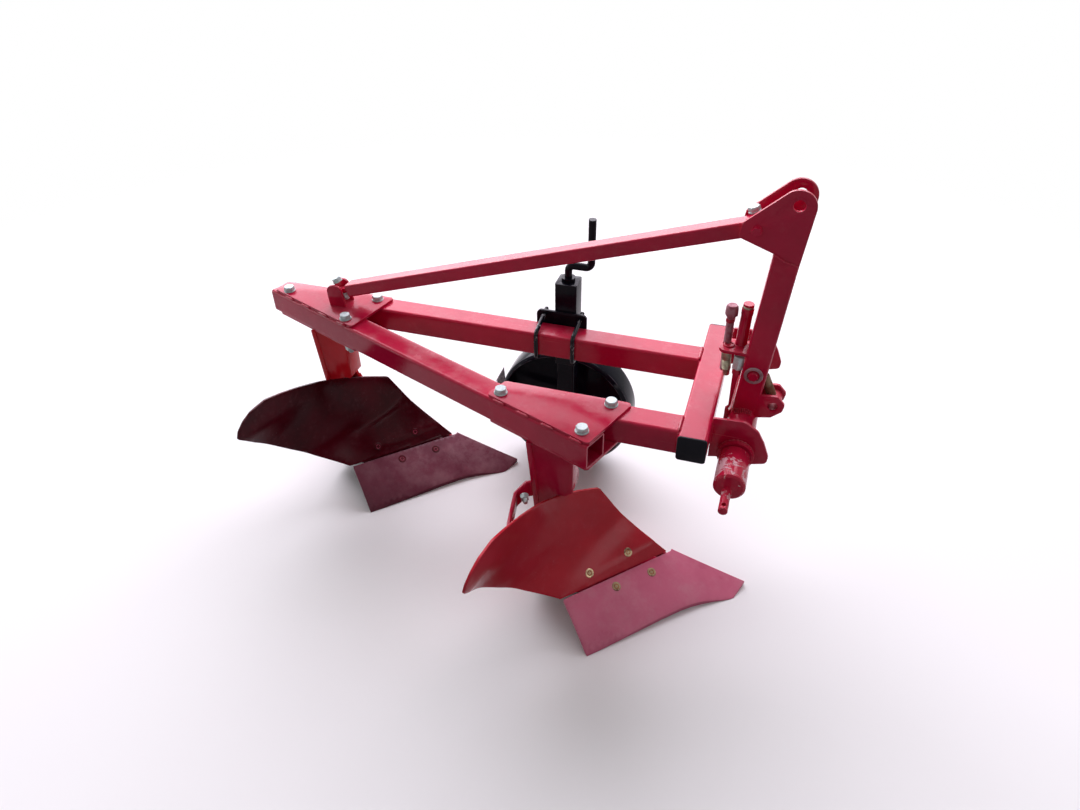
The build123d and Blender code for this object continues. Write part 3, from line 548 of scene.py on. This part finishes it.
def rod(bm, start, end, radius, chamfer=1.0):
    """A round bar between two laid-out points, with chamfered ends."""
    run = Vector(end) - Vector(start)
    long = run.length
    outline = [(radius - chamfer, 0), (radius, chamfer), (radius, long - chamfer), (radius - chamfer, long)]
    add(bm, stacked([(0, *row) for row in outline], 20), stand(start, run))


# ---- Blades ----

# Level lines across the mouldboard: x and z where each crosses y = -100, and its angle to the travel
BOARD_LINES = [
    (-219.0, 99.0, 49.5), (-237.8, 120.0, 52.3), (-256.0, 140.0, 54.8), (-275.9, 165.0, 56.8),
    (-293.0, 192.0, 58.5), (-301.2, 220.0, 60.9), (-306.0, 250.0, 63.5), (-312.6, 280.0, 65.9),
    (-319.0, 310.0, 68.5), (-326.1, 345.0, 72.6), (-332.0, 380.0, 76.5), (-335.8, 425.0, 78.7),
    (-338.0, 470.0, 80.0),
]  # fmt: skip
LINE_Y = -100.0
# The joint of share and mouldboard: its height where y = -100, and its rise along the level line
JOINT_Z = 99.0
JOINT_RISE = 0.075
# The joint on the outline's plane: where it has that height, and the plane's part of a level line's length
JOINT_START = 183.2
PLANE_PART = 0.9636
BOARD_TURN = radians(65.0)
BOARD_THICKNESS = 6.0
BLADE_GAP = 3.2
CORNER_REACH = 16.0
GRID_ALONG = range(-90, 560, 13)
GRID_UP = range(84, 464, 9)
SHARE_GRID = range(-250, 180, 14)
# The mouldboard's outline: distance back along its plane, height, and radius of the corner
BOARD_SHAPE = [
    (-99.0, 60.0, 0.0), (-70.0, 108.0, 0.0), (-22.0, 200.0, 60.0), (17.0, 291.0, 12.0), (90.0, 324.0, 60.0),
    (178.0, 361.0, 60.0), (253.0, 395.0, 60.0), (330.0, 425.0, 60.0), (400.0, 449.0, 60.0),
    (452.0, 464.0, 30.0), (505.0, 461.0, 30.0), (536.0, 447.0, 20.0), (557.0, 426.0, 15.0),
    (564.0, 402.0, 8.0), (540.0, 377.0, 60.0), (510.0, 341.0, 60.0), (459.0, 290.0, 60.0),
    (400.0, 231.0, 60.0), (334.0, 171.0, 60.0), (259.0, 110.0, 0.0), (249.0, 98.0, 0.0), (249.0, 40.0, 0.0),
]  # fmt: skip
# The share seen from above
SHARE_PLAN = [
    (-176.5, -230.0), (-146.8, -200.5), (-60.3, -109.0), (-15.4, -62.0), (30.9, -16.1), (54.8, 4.7),
    (79.2, 23.0), (104.5, 38.0), (130.1, 51.0), (150.5, 62.0), (162.0, 72.0), (183.5, 129.6),
    (-28.0, 129.6), (-29.0, 122.0), (-263.0, -152.0),
]  # fmt: skip
# The cutting edge: x and z where it crosses y = -100, and its angle
CUTTING_LINE = (-29.8, 0.0, 41.5)
SHARE_THICKNESS = 12.0
CUTTING_EDGE = 1.5
BOARD_BOLTS = ((-132.0, 37.0, 124.0), (-225.0, -58.0, 126.0))
SHARE_BOLTS = ((-65.5, 35.4), (-145.0, -49.0))


def board_line(z):
    """x and angle of the mouldboard's level line at a height, smooth through the rows."""
    rows = BOARD_LINES
    low = max(0, min(len(rows) - 2, sum(row[1] <= z for row in rows) - 1))
    before, a, b, after = rows[max(0, low - 1)], rows[low], rows[low + 1], rows[min(len(rows) - 1, low + 2)]
    span = b[1] - a[1]
    t = (z - a[1]) / span
    found = []
    for item in (0, 2):
        slope_a = (b[item] - before[item]) / (b[1] - before[1]) * span
        slope_b = (after[item] - a[item]) / (after[1] - a[1]) * span
        found.append(
            (2 * t**3 - 3 * t**2 + 1) * a[item]
            + (t**3 - 2 * t**2 + t) * slope_a
            + (3 * t**2 - 2 * t**3) * b[item]
            + (t**3 - t**2) * slope_b
        )
    return found[0], radians(found[1])


def board_point(along, z, back=0.0):
    """A point of the mouldboard at a distance along its level line, and so far behind its face."""
    level = z
    joint = JOINT_Z + JOINT_RISE * along
    first = BOARD_LINES[1][1]
    if z < first:
        level = JOINT_Z + (first - JOINT_Z) * (z - joint) / (first - joint)
    x, angle = board_line(level)
    return Vector(
        (x - along * cos(angle) - back * sin(angle), LINE_Y - along * sin(angle) + back * cos(angle), z)
    )


def board_along(s, z):
    """Distance along a level line of the point that lies s along the outline's plane, found by closing in."""
    along = s - 180.0
    for _ in range(6):
        point = board_point(along, z)
        reached = -point.x * cos(BOARD_TURN) - point.y * sin(BOARD_TURN)
        along += (s - reached) / 0.98
    return along


def cut_all(bm, point, normal):
    """Cuts every face of a flat shape by a plane."""
    whole = bm.verts[:] + bm.edges[:] + bm.faces[:]
    bmesh.ops.bisect_plane(bm, geom=whole, plane_co=point, plane_no=normal, dist=0.01)


def mouldboard(name, offset, material, slot):
    """The curved mouldboard, from a flat outline cut into a grid and laid on the level lines."""
    bm = bmesh.new()
    corners = [bm.verts.new((s, 0, z)) for s, z, _ in BOARD_SHAPE]
    bm.faces.new(corners)
    for vert, (_, _, radius) in zip(corners, BOARD_SHAPE):
        if radius:
            sides = [(e.other_vert(vert).co - vert.co).normalized() for e in vert.link_edges]
            bend = pi - sides[0].angle(sides[1])
            bmesh.ops.bevel(
                bm,
                geom=[vert],
                offset=min(radius * tan(bend / 2), CORNER_REACH),
                offset_type="OFFSET",
                segments=3,
                profile=0.5,
                affect="VERTICES",
                material=-1,
            )
    whole = bm.verts[:] + bm.edges[:] + bm.faces[:]
    joint = Vector((JOINT_START, 0, JOINT_Z + BLADE_GAP))
    slope = JOINT_RISE / PLANE_PART
    bmesh.ops.bisect_plane(bm, geom=whole, plane_co=joint, plane_no=(-slope, 0, 1), clear_inner=True)
    for s in GRID_ALONG:
        cut_all(bm, (s, 0, 0), (1, 0, 0))
    for z in GRID_UP:
        cut_all(bm, (0, 0, z), (0, 0, 1))
    grown = bmesh.ops.extrude_face_region(bm, geom=bm.faces[:])["geom"]
    back = {g for g in grown if isinstance(g, bmesh.types.BMVert)}
    for vert in bm.verts:
        along = board_along(vert.co.x, vert.co.z)
        point = board_point(along, vert.co.z, BOARD_THICKNESS if vert in back else 0.0)
        vert.co = at(*(point + offset))
    bmesh.ops.recalc_face_normals(bm, faces=bm.faces)
    round_edges(bm, 1.4 * MM, 50.0)
    made = piece(name + "_sheet", bm, "frame", material, 50.0)
    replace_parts(made, name)


def share_top(x, y):
    """Height of the share's face over a plan position, on the ruled face between cutting edge and joint."""
    cut_x, cut_z, cut_angle = CUTTING_LINE
    joint_x, _, joint_angle = BOARD_LINES[0]
    a, b = radians(cut_angle), radians(joint_angle)
    along, across = 0.0, 0.5
    for _ in range(12):
        cut = Vector((cut_x - along * cos(a), LINE_Y - along * sin(a)))
        joint = Vector((joint_x - along * cos(b), LINE_Y - along * sin(b)))
        here = cut.lerp(joint, across)
        miss = Vector((x, y)) - here
        by_along = Vector((-cos(a), -sin(a))).lerp(Vector((-cos(b), -sin(b))), across)
        by_across = joint - cut
        det = by_along.x * by_across.y - by_along.y * by_across.x
        along += (miss.x * by_across.y - miss.y * by_across.x) / det
        across += (by_along.x * miss.y - by_along.y * miss.x) / det
    return cut_z + across * (JOINT_Z + JOINT_RISE * along - cut_z)


def share(name, offset, material, slot):
    """The share, from its plan cut into a grid, with a thinned cutting edge."""
    bm = bmesh.new()
    bm.faces.new([bm.verts.new((x, y, 0)) for x, y in SHARE_PLAN])
    for place in SHARE_GRID:
        cut_all(bm, (place, place, 0), (1, 0, 0))
        cut_all(bm, (place, place, 0), (0, 1, 0))
    grown = bmesh.ops.extrude_face_region(bm, geom=bm.faces[:])["geom"]
    under = {g for g in grown if isinstance(g, bmesh.types.BMVert)}
    for vert in bm.verts:
        top = max(share_top(vert.co.x, vert.co.y), CUTTING_EDGE)
        z = max(0.0, top - SHARE_THICKNESS) if vert in under else top
        vert.co = at(*(Vector((vert.co.x, vert.co.y, z)) + offset))
    bmesh.ops.recalc_face_normals(bm, faces=bm.faces)
    round_edges(bm, 1.1 * MM, 50.0)
    made = piece(name + "_blade", bm, "frame", material, 50.0)
    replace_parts(made, name)


def plough_bolts(name, offset, material, heart_material, slot):
    """Countersunk bolt heads with filled sockets, two on the share and two on the mouldboard."""
    bm, hearts = bmesh.new(), bmesh.new()
    head = [(0, 12.6, -3.0), (0, 12.6, 0.3), (0, 11.6, 1.2), (0, 8.0, 1.3), (0, 7.0, 0.5)]
    heart = [(0, 7.2, 0.2), (0, 7.0, 0.7), (4, 4.6, 0.9), (4, 4.0, 0.4)]
    for x, y, z in BOARD_BOLTS:
        line_x, angle = board_line(z)
        along = -((x - line_x) * cos(angle) + (y - LINE_Y) * sin(angle))
        point = board_point(along, z)
        normal = (board_point(along, z + 4) - point).cross(board_point(along - 4, z) - point)
        place = stand(point + offset, normal if normal.z > 0 else -normal, 0.4)
        add(bm, stacked(head), place)
        add(hearts, stacked(heart), place)
    for x, y in SHARE_BOLTS:
        point = Vector((x, y, share_top(x, y)))
        rise_x = Vector((4, 0, share_top(x + 4, y) - point.z))
        rise_y = Vector((0, 4, share_top(x, y + 4) - point.z))
        place = stand(point + offset, rise_x.cross(rise_y), 0.7)
        add(bm, stacked(head), place)
        add(hearts, stacked(heart), place)
    piece(name, bm, "frame", material)
    piece(name + "_sockets", hearts, "frame", heart_material)


blades = (
    (
        "front", Vector(), (board_paint, "crimson_paint"), (rose_paint, "rose_paint"),
        (brass_bolt, rust_heart, None),
    ),
    (
        # The rear body takes the darker copies as painted shade.
        "rear", BODY_SPACING, (shaded_board_paint, "dark_crimson_paint"), (shaded_share_paint, "dark_crimson_paint"),
        (shaded_board_paint, dull_red, "dark_crimson_paint"),
    ),
)  # fmt: skip
for end, offset, board_looks, share_looks, bolt_looks in blades:
    mouldboard(f"{end}_mouldboard", offset, *board_looks)
    share(f"{end}_share", offset, *share_looks)
    plough_bolts(f"{end}_plough_bolts", offset, *bolt_looks)

# ---- Plates and tubes ----

LANDSIDE_CORNER = Vector((-72.0, 126.0, 84.0))


def repaint(node, material):
    """Gives a CAD part that stays as it is its finish."""
    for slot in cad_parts[node].material_slots:
        slot.material = material


for node in ("crossbar", "short_beam", "long_beam", "diagonal_beam", "stay_bar", "mast", "shaft_sleeve"):
    repaint(node, crimson)
repaint("wheel_crank", black_steel)
repaint("wheel_u_bolts", worn_and_glint_black)

for node in (
    "quadrant_plate_right", "quadrant_plate_left", "head_plate_right", "head_plate_left", "mast_lugs",
    "screw_bracket", "front_gusset_top", "front_gusset_bottom", "rear_gusset_top", "rear_gusset_bottom",
    "stay_lug", "front_leg", "front_frog", "front_brace", "rear_brace",
):  # fmt: skip
    dress(node, "frame", crimson)
dress("rear_leg", "frame", orange_paint)
# The rear frog takes the darker mouldboard paint as painted shade in the gap behind the rear blades.
dress("rear_frog", "frame", shaded_board_paint)
for node, offset in (("front_landside", Vector()), ("rear_landside", BODY_SPACING)):
    dress(node, "frame", scuffed_paint, 2.0, (LANDSIDE_CORNER + offset, (0.62, 0.0, 0.78)))
dress("shaft_arm", "cross_shaft", crimson)
dress("cross_shaft", "cross_shaft", hub_finish, 1.0)
for node in ("crossbar_cap_left", "crossbar_cap_right"):
    dress(node, "frame", black_cap, 1.0)
for node, body in (
    ("wheel_clamp_plate", "frame"), ("wheel_post", "frame"), ("wheel_slide", "wheel_slide"),
    ("wheel_axle", "wheel_slide"),
):  # fmt: skip
    dress(node, body, black_steel)
dress("wheel_scraper", "wheel_slide", grey_steel)

# ---- Gauge wheel ----

WHEEL_X = -450.0
WHEEL_NEAR = 480.0
WHEEL_CROWN = 214.0
# The pressed wheel's section: distance from its near side, and depth below its crown
WHEEL_SECTION = [
    (0, 10), (13, 1), (30, 0), (88, 0), (115, 20), (111, 24), (87, 5), (66, 5), (60, 40), (48, 154),
    (48, 178), (93, 178), (93, 198.95), (28, 198.95), (28, 178), (43, 178), (43, 154), (55, 40), (60, 5),
    (30, 5), (14, 6), (3, 14), (0, 10),
]  # fmt: skip
wheel = turned([(WHEEL_CROWN - depth, near) for near, depth in WHEEL_SECTION], 96)
bmesh.ops.transform(wheel, matrix=stand((WHEEL_X, WHEEL_NEAR, WHEEL_CROWN), (0, 1, 0)), verts=wheel.verts)
bmesh.ops.recalc_face_normals(wheel, faces=wheel.faces)
round_edges(wheel, 1.8 * MM, 16.0)
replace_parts(piece("gauge_wheel_pressed", wheel, "gauge_wheel", black_wheel), "gauge_wheel")

# ---- Bolts ----

zinc_parts = bmesh.new()
for x, y, turn, through in (
    (-481.6, 33.8, 0.2, False), (-208.0, 64.2, 0.8, True), (-249.3, -54.2, 0.5, True),
    (-1268.6, 339.6, 0.1, False), (-1026.9, 241.3, 0.6, True), (-987.7, 365.2, 0.9, True),
):  # fmt: skip
    bolt_head(zinc_parts, (x, y, GUSSET_TOP), (0, 0, 1), turn=turn)
    if through:
        nut(zinc_parts, (x, y, GUSSET_UNDER), (0, 0, -1), turn=turn + 0.4)
stay_head = {"across": 24.0, "height": 10.0, "washer_radius": 14.0}
stay_nut = {"across": 24.0, "height": 12.0, "thread": 8.0, "beyond": 6.0, "washer_radius": 14.0}
brace_nut = {"across": 20.0, "height": 10.0, "thread": 6.5, "beyond": 12.0, "washer_radius": 11.0}
across_stay = Vector((-29.0, 0.0, 67.0)).normalized()
stay_bolt = Vector((-1075.0, 320.0, FRAME_TOP + 60.0))
bolt_head(zinc_parts, stay_bolt + across_stay * 18, across_stay, **stay_head)
nut(zinc_parts, stay_bolt - across_stay * 18, -across_stay, **stay_nut)
bolt_head(zinc_parts, (50.0, 235.0, FRAME_TOP + 463.0), (-0.32, 0.02, 0.947), **stay_head)
nut(zinc_parts, (-388.0, -80.0, 377.0), (0.45, -0.89, -0.1), **brace_nut)
add(zinc_parts, hexagon(25.0, 35.0), stand((67.0, 221.0, FRAME_TOP + 67.0), (0.04, 0, 1), 0.5))
piece("zinc_bolts", zinc_parts, "frame", zinc)

CLAMP_Y = 406.2
clamp_nut = {"across": 17.0, "height": 9.0, "thread": 6.0, "beyond": 3.0, "washer_radius": 10.0, "turn": 0.5}
clamp_nuts = bmesh.new()
for x in (-484.0, -379.0):
    for z, rise in ((611.0, 0.21), (514.0, 0)):
        nut(clamp_nuts, (x, CLAMP_Y, z), (0, 1, rise), **clamp_nut)
piece("clamp_nuts", clamp_nuts, "frame", black_steel)

# ---- Head and adjuster details ----

MAST_BOLT = (108.0, 205.0, FRAME_TOP + 62.0)
BOSS_LEAN = (0.03, 0.0, 1.0)
SCREW_X, SCREW_Y = 33.0, 246.0

red_parts = bmesh.new()
add(red_parts, hexagon(21.0, 10.0), stand(MAST_BOLT, (0, -1, 0), 0.3))
for y, out in ((197.0, -1), (273.0, 1)):
    side = (0, out, 0)
    bolt_head(red_parts, (61.0, y, FRAME_TOP + 437.0), side, across=19.0, height=8.0, washer_radius=12.0)
rod(red_parts, (66.5, 221.0, FRAME_TOP + 50.0), (66.5, 221.0, FRAME_TOP + 68.0), 11.0)
piece("head_bolts", red_parts, "frame", crimson)

boss = bmesh.new()
barrel = [(0, 15.5, 0), (0, 14.0, 4), (0, 13.6, 80), (0, 14.6, 84), (0, 14.6, 97), (0, 12.8, 99)]
add(boss, stacked(barrel, 28), stand((66.0, 250.0, FRAME_TOP + 120.0), BOSS_LEAN))
cap = [(0, 12.2, 0), (0, 13.0, 1), (0, 13.0, 5), (0, 12.2, 6)]
add(boss, stacked(cap, 28), stand((69.3, 250.0, FRAME_TOP + 224.0), BOSS_LEAN))
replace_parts(piece("bracket_boss_turned", boss, "frame", crimson), "bracket_boss")

mast_washer = bmesh.new()
ring = [(15.0, 0.0), (23.0, 0.0), (23.0, 2.4), (21.8, 3.6), (16.2, 3.6), (15.0, 2.4), (15.0, 0.0)]
add(mast_washer, turned(ring, 36), stand(MAST_BOLT, (0, -1, 0)))
piece("mast_bolt_washer", mast_washer, "frame", worn_washer)

screw = bmesh.new()
add(screw, threaded(9.8, 156.0, 3.5), stand((SCREW_X, SCREW_Y, FRAME_TOP + 196.0), (0, 0, -1)))
knob = [(0, 0), (9.5, 0), (11.5, 5), (14.5, 9), (15.2, 15), (15.2, 24), (14.2, 31), (11.0, 35), (0, 36)]
add(screw, turned(knob, 28), stand((SCREW_X, SCREW_Y, FRAME_TOP + 188.0)))
add(screw, hexagon(27.0, 12.0), stand((SCREW_X, SCREW_Y, FRAME_TOP + 196.0), (0, 0, 1), 0.4))
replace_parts(piece("adjusting_screw_thread", screw, "frame", pink_rod), "adjusting_screw")

lock = bmesh.new()
add(lock, hexagon(20.0, 9.0), stand((SCREW_X, SCREW_Y, FRAME_TOP + 178.0), (0, 0, 1), 0.9))
piece("adjusting_screw_nut", lock, "frame", scuffed_paint)

boss_ring = bmesh.new()
ring = [(0, 0), (12.6, 0), (13.4, 1.5), (13.4, 4.5), (12.6, 6), (0, 6)]
add(boss_ring, turned(ring, 28), stand((69.0, 250.0, FRAME_TOP + 218.5), BOSS_LEAN))
piece("bracket_boss_ring", boss_ring, "frame", olive_pin)

link_eye = bmesh.new()
eye = [(12.5, -21.5), (19.0, -21.5), (20.0, -20.0), (20.0, 20.0), (19.0, 21.5), (12.5, 21.5), (12.5, -21.5)]
add(link_eye, turned(eye, 32), stand((166.0, 235.0, FRAME_TOP - 21.0), (0, 1, 0)))
piece("link_eye", link_eye, "frame", scuffed_paint)

link_rod = bmesh.new()
rod(link_rod, (160.0, 236.0, FRAME_TOP - 8.0), (134.0, 236.0, FRAME_TOP + 47.0), 11.5)
piece("link_rod", link_rod, "frame", rust_rod)

pin_head = bmesh.new()
head = [(0, 13.5, 0), (0, 13.5, 2.4), (0, 12.0, 3.4), (0, 9.5, 3.4), (0, 8.6, 1.4)]
add(pin_head, stacked(head), stand((39.5, 233.0, FRAME_TOP + 120.0)))
piece("adjuster_pin_head", pin_head, "frame", scuffed_paint)

pin = bmesh.new()
under_head = stand((33.6, 233.0, FRAME_TOP + 112.0), (8.0, 0.0, -70.0))
add(pin, stacked([(0, 11.4, 0), (0, 12.0, 1), (0, 12.0, 30), (0, 11.0, 32)]), under_head)
add(pin, threaded(11.4, 34.0, 3.4), under_head @ lift(30.0))
add(pin, stacked([(0, 8.4, 0), (0, 8.4, 14), (0, 7.0, 16)]), under_head @ lift(62.0))
piece("adjuster_pin_thread", pin, "frame", olive_pin)

# ---- Welds ----

DIAGONAL_TURN = radians(21.5)
FORWARD = Vector((cos(DIAGONAL_TURN), -sin(DIAGONAL_TURN), 0))
LEFT = Vector((sin(DIAGONAL_TURN), cos(DIAGONAL_TURN), 0))
NOSE = Vector((-226.0, -99.0, 0.0))
STITCH = 38.0
SHAFT_X, SHAFT_Z = 99.0, 508.0


def diagonal(back, across, z):
    """A laid-out point back along the diagonal beam and across it."""
    return tuple(NOSE - FORWARD * back + LEFT * across + Vector((0, 0, z)))


welds = bmesh.new()
for start in (16.0, 100.0, 176.0, 252.0, 848.0, 930.0, 1010.0, 1086.0):
    bead(welds, [diagonal(place, 2.8, FRAME_TOP + 1.0) for place in (start, start + STITCH)], 4.2)
bead(welds, [(62.0, 217.0, FRAME_TOP + 455.0), (62.0, 253.0, FRAME_TOP + 455.0)], 4.0)
plate_foot = ((103.0, 196.0, 387.0), (132.0, 196.5, 371.0), (161.0, 197.0, 364.0))
bead(welds, [(x, y, FRAME_TOP + rise) for x, y, rise in plate_foot], 3.0)
for y in (52.0, 363.0):
    for side in (y - 35.0, y + 35.0):
        bead(welds, [(-36.0, side, 524.0), (-36.0, side, 586.0)], 4.0)
    bead(welds, [(-36.5, y - 31.0, 589.5), (-36.5, y + 31.0, 589.5)], 4.0)
for y in (76.0, 84.0, 493.0, 501.0):
    bead(welds, [(36.0, y, 524.0), (36.0, y, 584.0)], 3.2)
for y, reach in ((205.0, 40.0), (198.0, 39.5), (191.0, 39.0), (265.0, 40.0), (272.0, 39.5)):
    bead(welds, arc((SHAFT_X, y, SHAFT_Z), reach, 58.0, 122.0), 4.2)
for y in (74.0, 503.0):
    bead(welds, arc((SHAFT_X, y, SHAFT_Z), 43.0, -60.0, 200.0, count=20), 2.8)
piece("weld_beads", welds, "frame", weld_paint, 60.0)

# ---- Studio ----

FLOOR_REACH = 40.0
FADE_FROM, FADE_TO = 1.9, 3.6
LAMP_AIM = Vector((0.0, 0.0, 0.5))

scene = bpy.context.scene
scene.view_settings.view_transform = "Standard"

world = bpy.data.worlds.new("studio")
scene.world = world
world.use_nodes = True
sky = Nodes(world.node_tree)
tone = sky.mix(sky.direct(), (0.16, 0.16, 0.17), (1.0, 1.0, 1.0))
background = next(n for n in sky.tree.nodes if n.type == "BACKGROUND")
sky.tree.links.new(tone.socket, background.inputs["Color"])

floor_finish = Finish("studio_floor", Roughness=0.9, Specular_IOR_Level=0.0)
floor_tone = floor_finish.mix(floor_finish.direct(), (0.2, 0.2, 0.2), (0.84, 0.84, 0.82))
floor_finish.finish(Base_Color=floor_tone)
lengthened = {"operation": "LENGTH"}
from_middle = floor_finish.node("ShaderNodeVectorMath", lengthened, {0: floor_finish.place}, output="Value")
fade = floor_finish.step(from_middle, FADE_FROM, FADE_TO)
clear = floor_finish.node("ShaderNodeBsdfTransparent")
opaque = Link(floor_finish, floor_finish.shader.outputs[0])
blend = floor_finish.node("ShaderNodeMixShader", {}, {0: fade, 1: opaque, 2: clear})
surface = next(n for n in floor_finish.tree.nodes if n.type == "OUTPUT_MATERIAL").inputs["Surface"]
floor_finish.tree.links.new(blend.socket, surface)

floor_mesh = bmesh.new()
bmesh.ops.create_grid(floor_mesh, x_segments=1, y_segments=1, size=FLOOR_REACH)
floor_data = bpy.data.meshes.new("floor")
floor_mesh.to_mesh(floor_data)
floor_mesh.free()
floor_data.materials.append(floor_finish.material)
floor = bpy.data.objects.new("floor", floor_data)
scene.collection.objects.link(floor)

AZIMUTH, ELEVATION, ROLL = radians(18.28), radians(37.31), radians(-0.994)
CAMERA_PLACE = (0.6796, -1.5528, 1.7702)
backward = Vector((sin(AZIMUTH) * cos(ELEVATION), -cos(AZIMUTH) * cos(ELEVATION), sin(ELEVATION)))
rightward = Vector((cos(AZIMUTH), sin(AZIMUTH), 0.0))
upward = backward.cross(rightward)


def lamp(name, direction, distance, size, radiance, colour=(1, 1, 1)):
    """A rectangular softbox that faces the plough, of a given brightness."""
    data = bpy.data.lights.new(name, "AREA")
    data.shape = "RECTANGLE"
    data.size, data.size_y = size
    data.energy = radiance * pi * size[0] * size[1]
    data.color = colour
    made = bpy.data.objects.new(name, data)
    place = LAMP_AIM + Vector(direction).normalized() * distance
    facing = Vector(direction).to_track_quat("Z", "Y").to_matrix().to_4x4()
    made.matrix_world = Matrix.Translation(place) @ facing
    made.visible_camera = False
    scene.collection.objects.link(made)


mirrored = Vector((-backward.x, -backward.y, backward.z))
lamp("sky_panel", mirrored + Vector((0.0, 0.0, 0.08)), 12.0, (19.0, 8.0), 6.1, (0.95, 0.89, 1.0))
lamp("ceiling_panel", (0.1, 0.2, 1.0), 5.0, (3.0, 3.0), 1.0)
lamp("left_panel", (-1.0, -0.25, 0.25), 8.0, (3.0, 2.0), 6.0)
lamp("front_panel", (0.96, -0.17, 0.30), 8.0, (4.0, 1.8), 3.6, (1.0, 0.9, 0.94))
lamp("low_panel", (-0.516, 0.826, 0.225), 12.0, (12.0, 4.5), 4.0, (0.95, 0.92, 1.0))

camera_data = bpy.data.cameras.new("camera")
camera_data.lens = 26.58
camera_data.sensor_width = 36.0
camera = bpy.data.objects.new("camera", camera_data)
rolled_right = rightward * cos(ROLL) + upward * sin(ROLL)
rolled_up = upward * cos(ROLL) - rightward * sin(ROLL)
facing = Matrix((rolled_right, rolled_up, backward)).transposed().to_4x4()
camera.matrix_world = Matrix.Translation(CAMERA_PLACE) @ facing
scene.collection.objects.link(camera)
scene.camera = camera
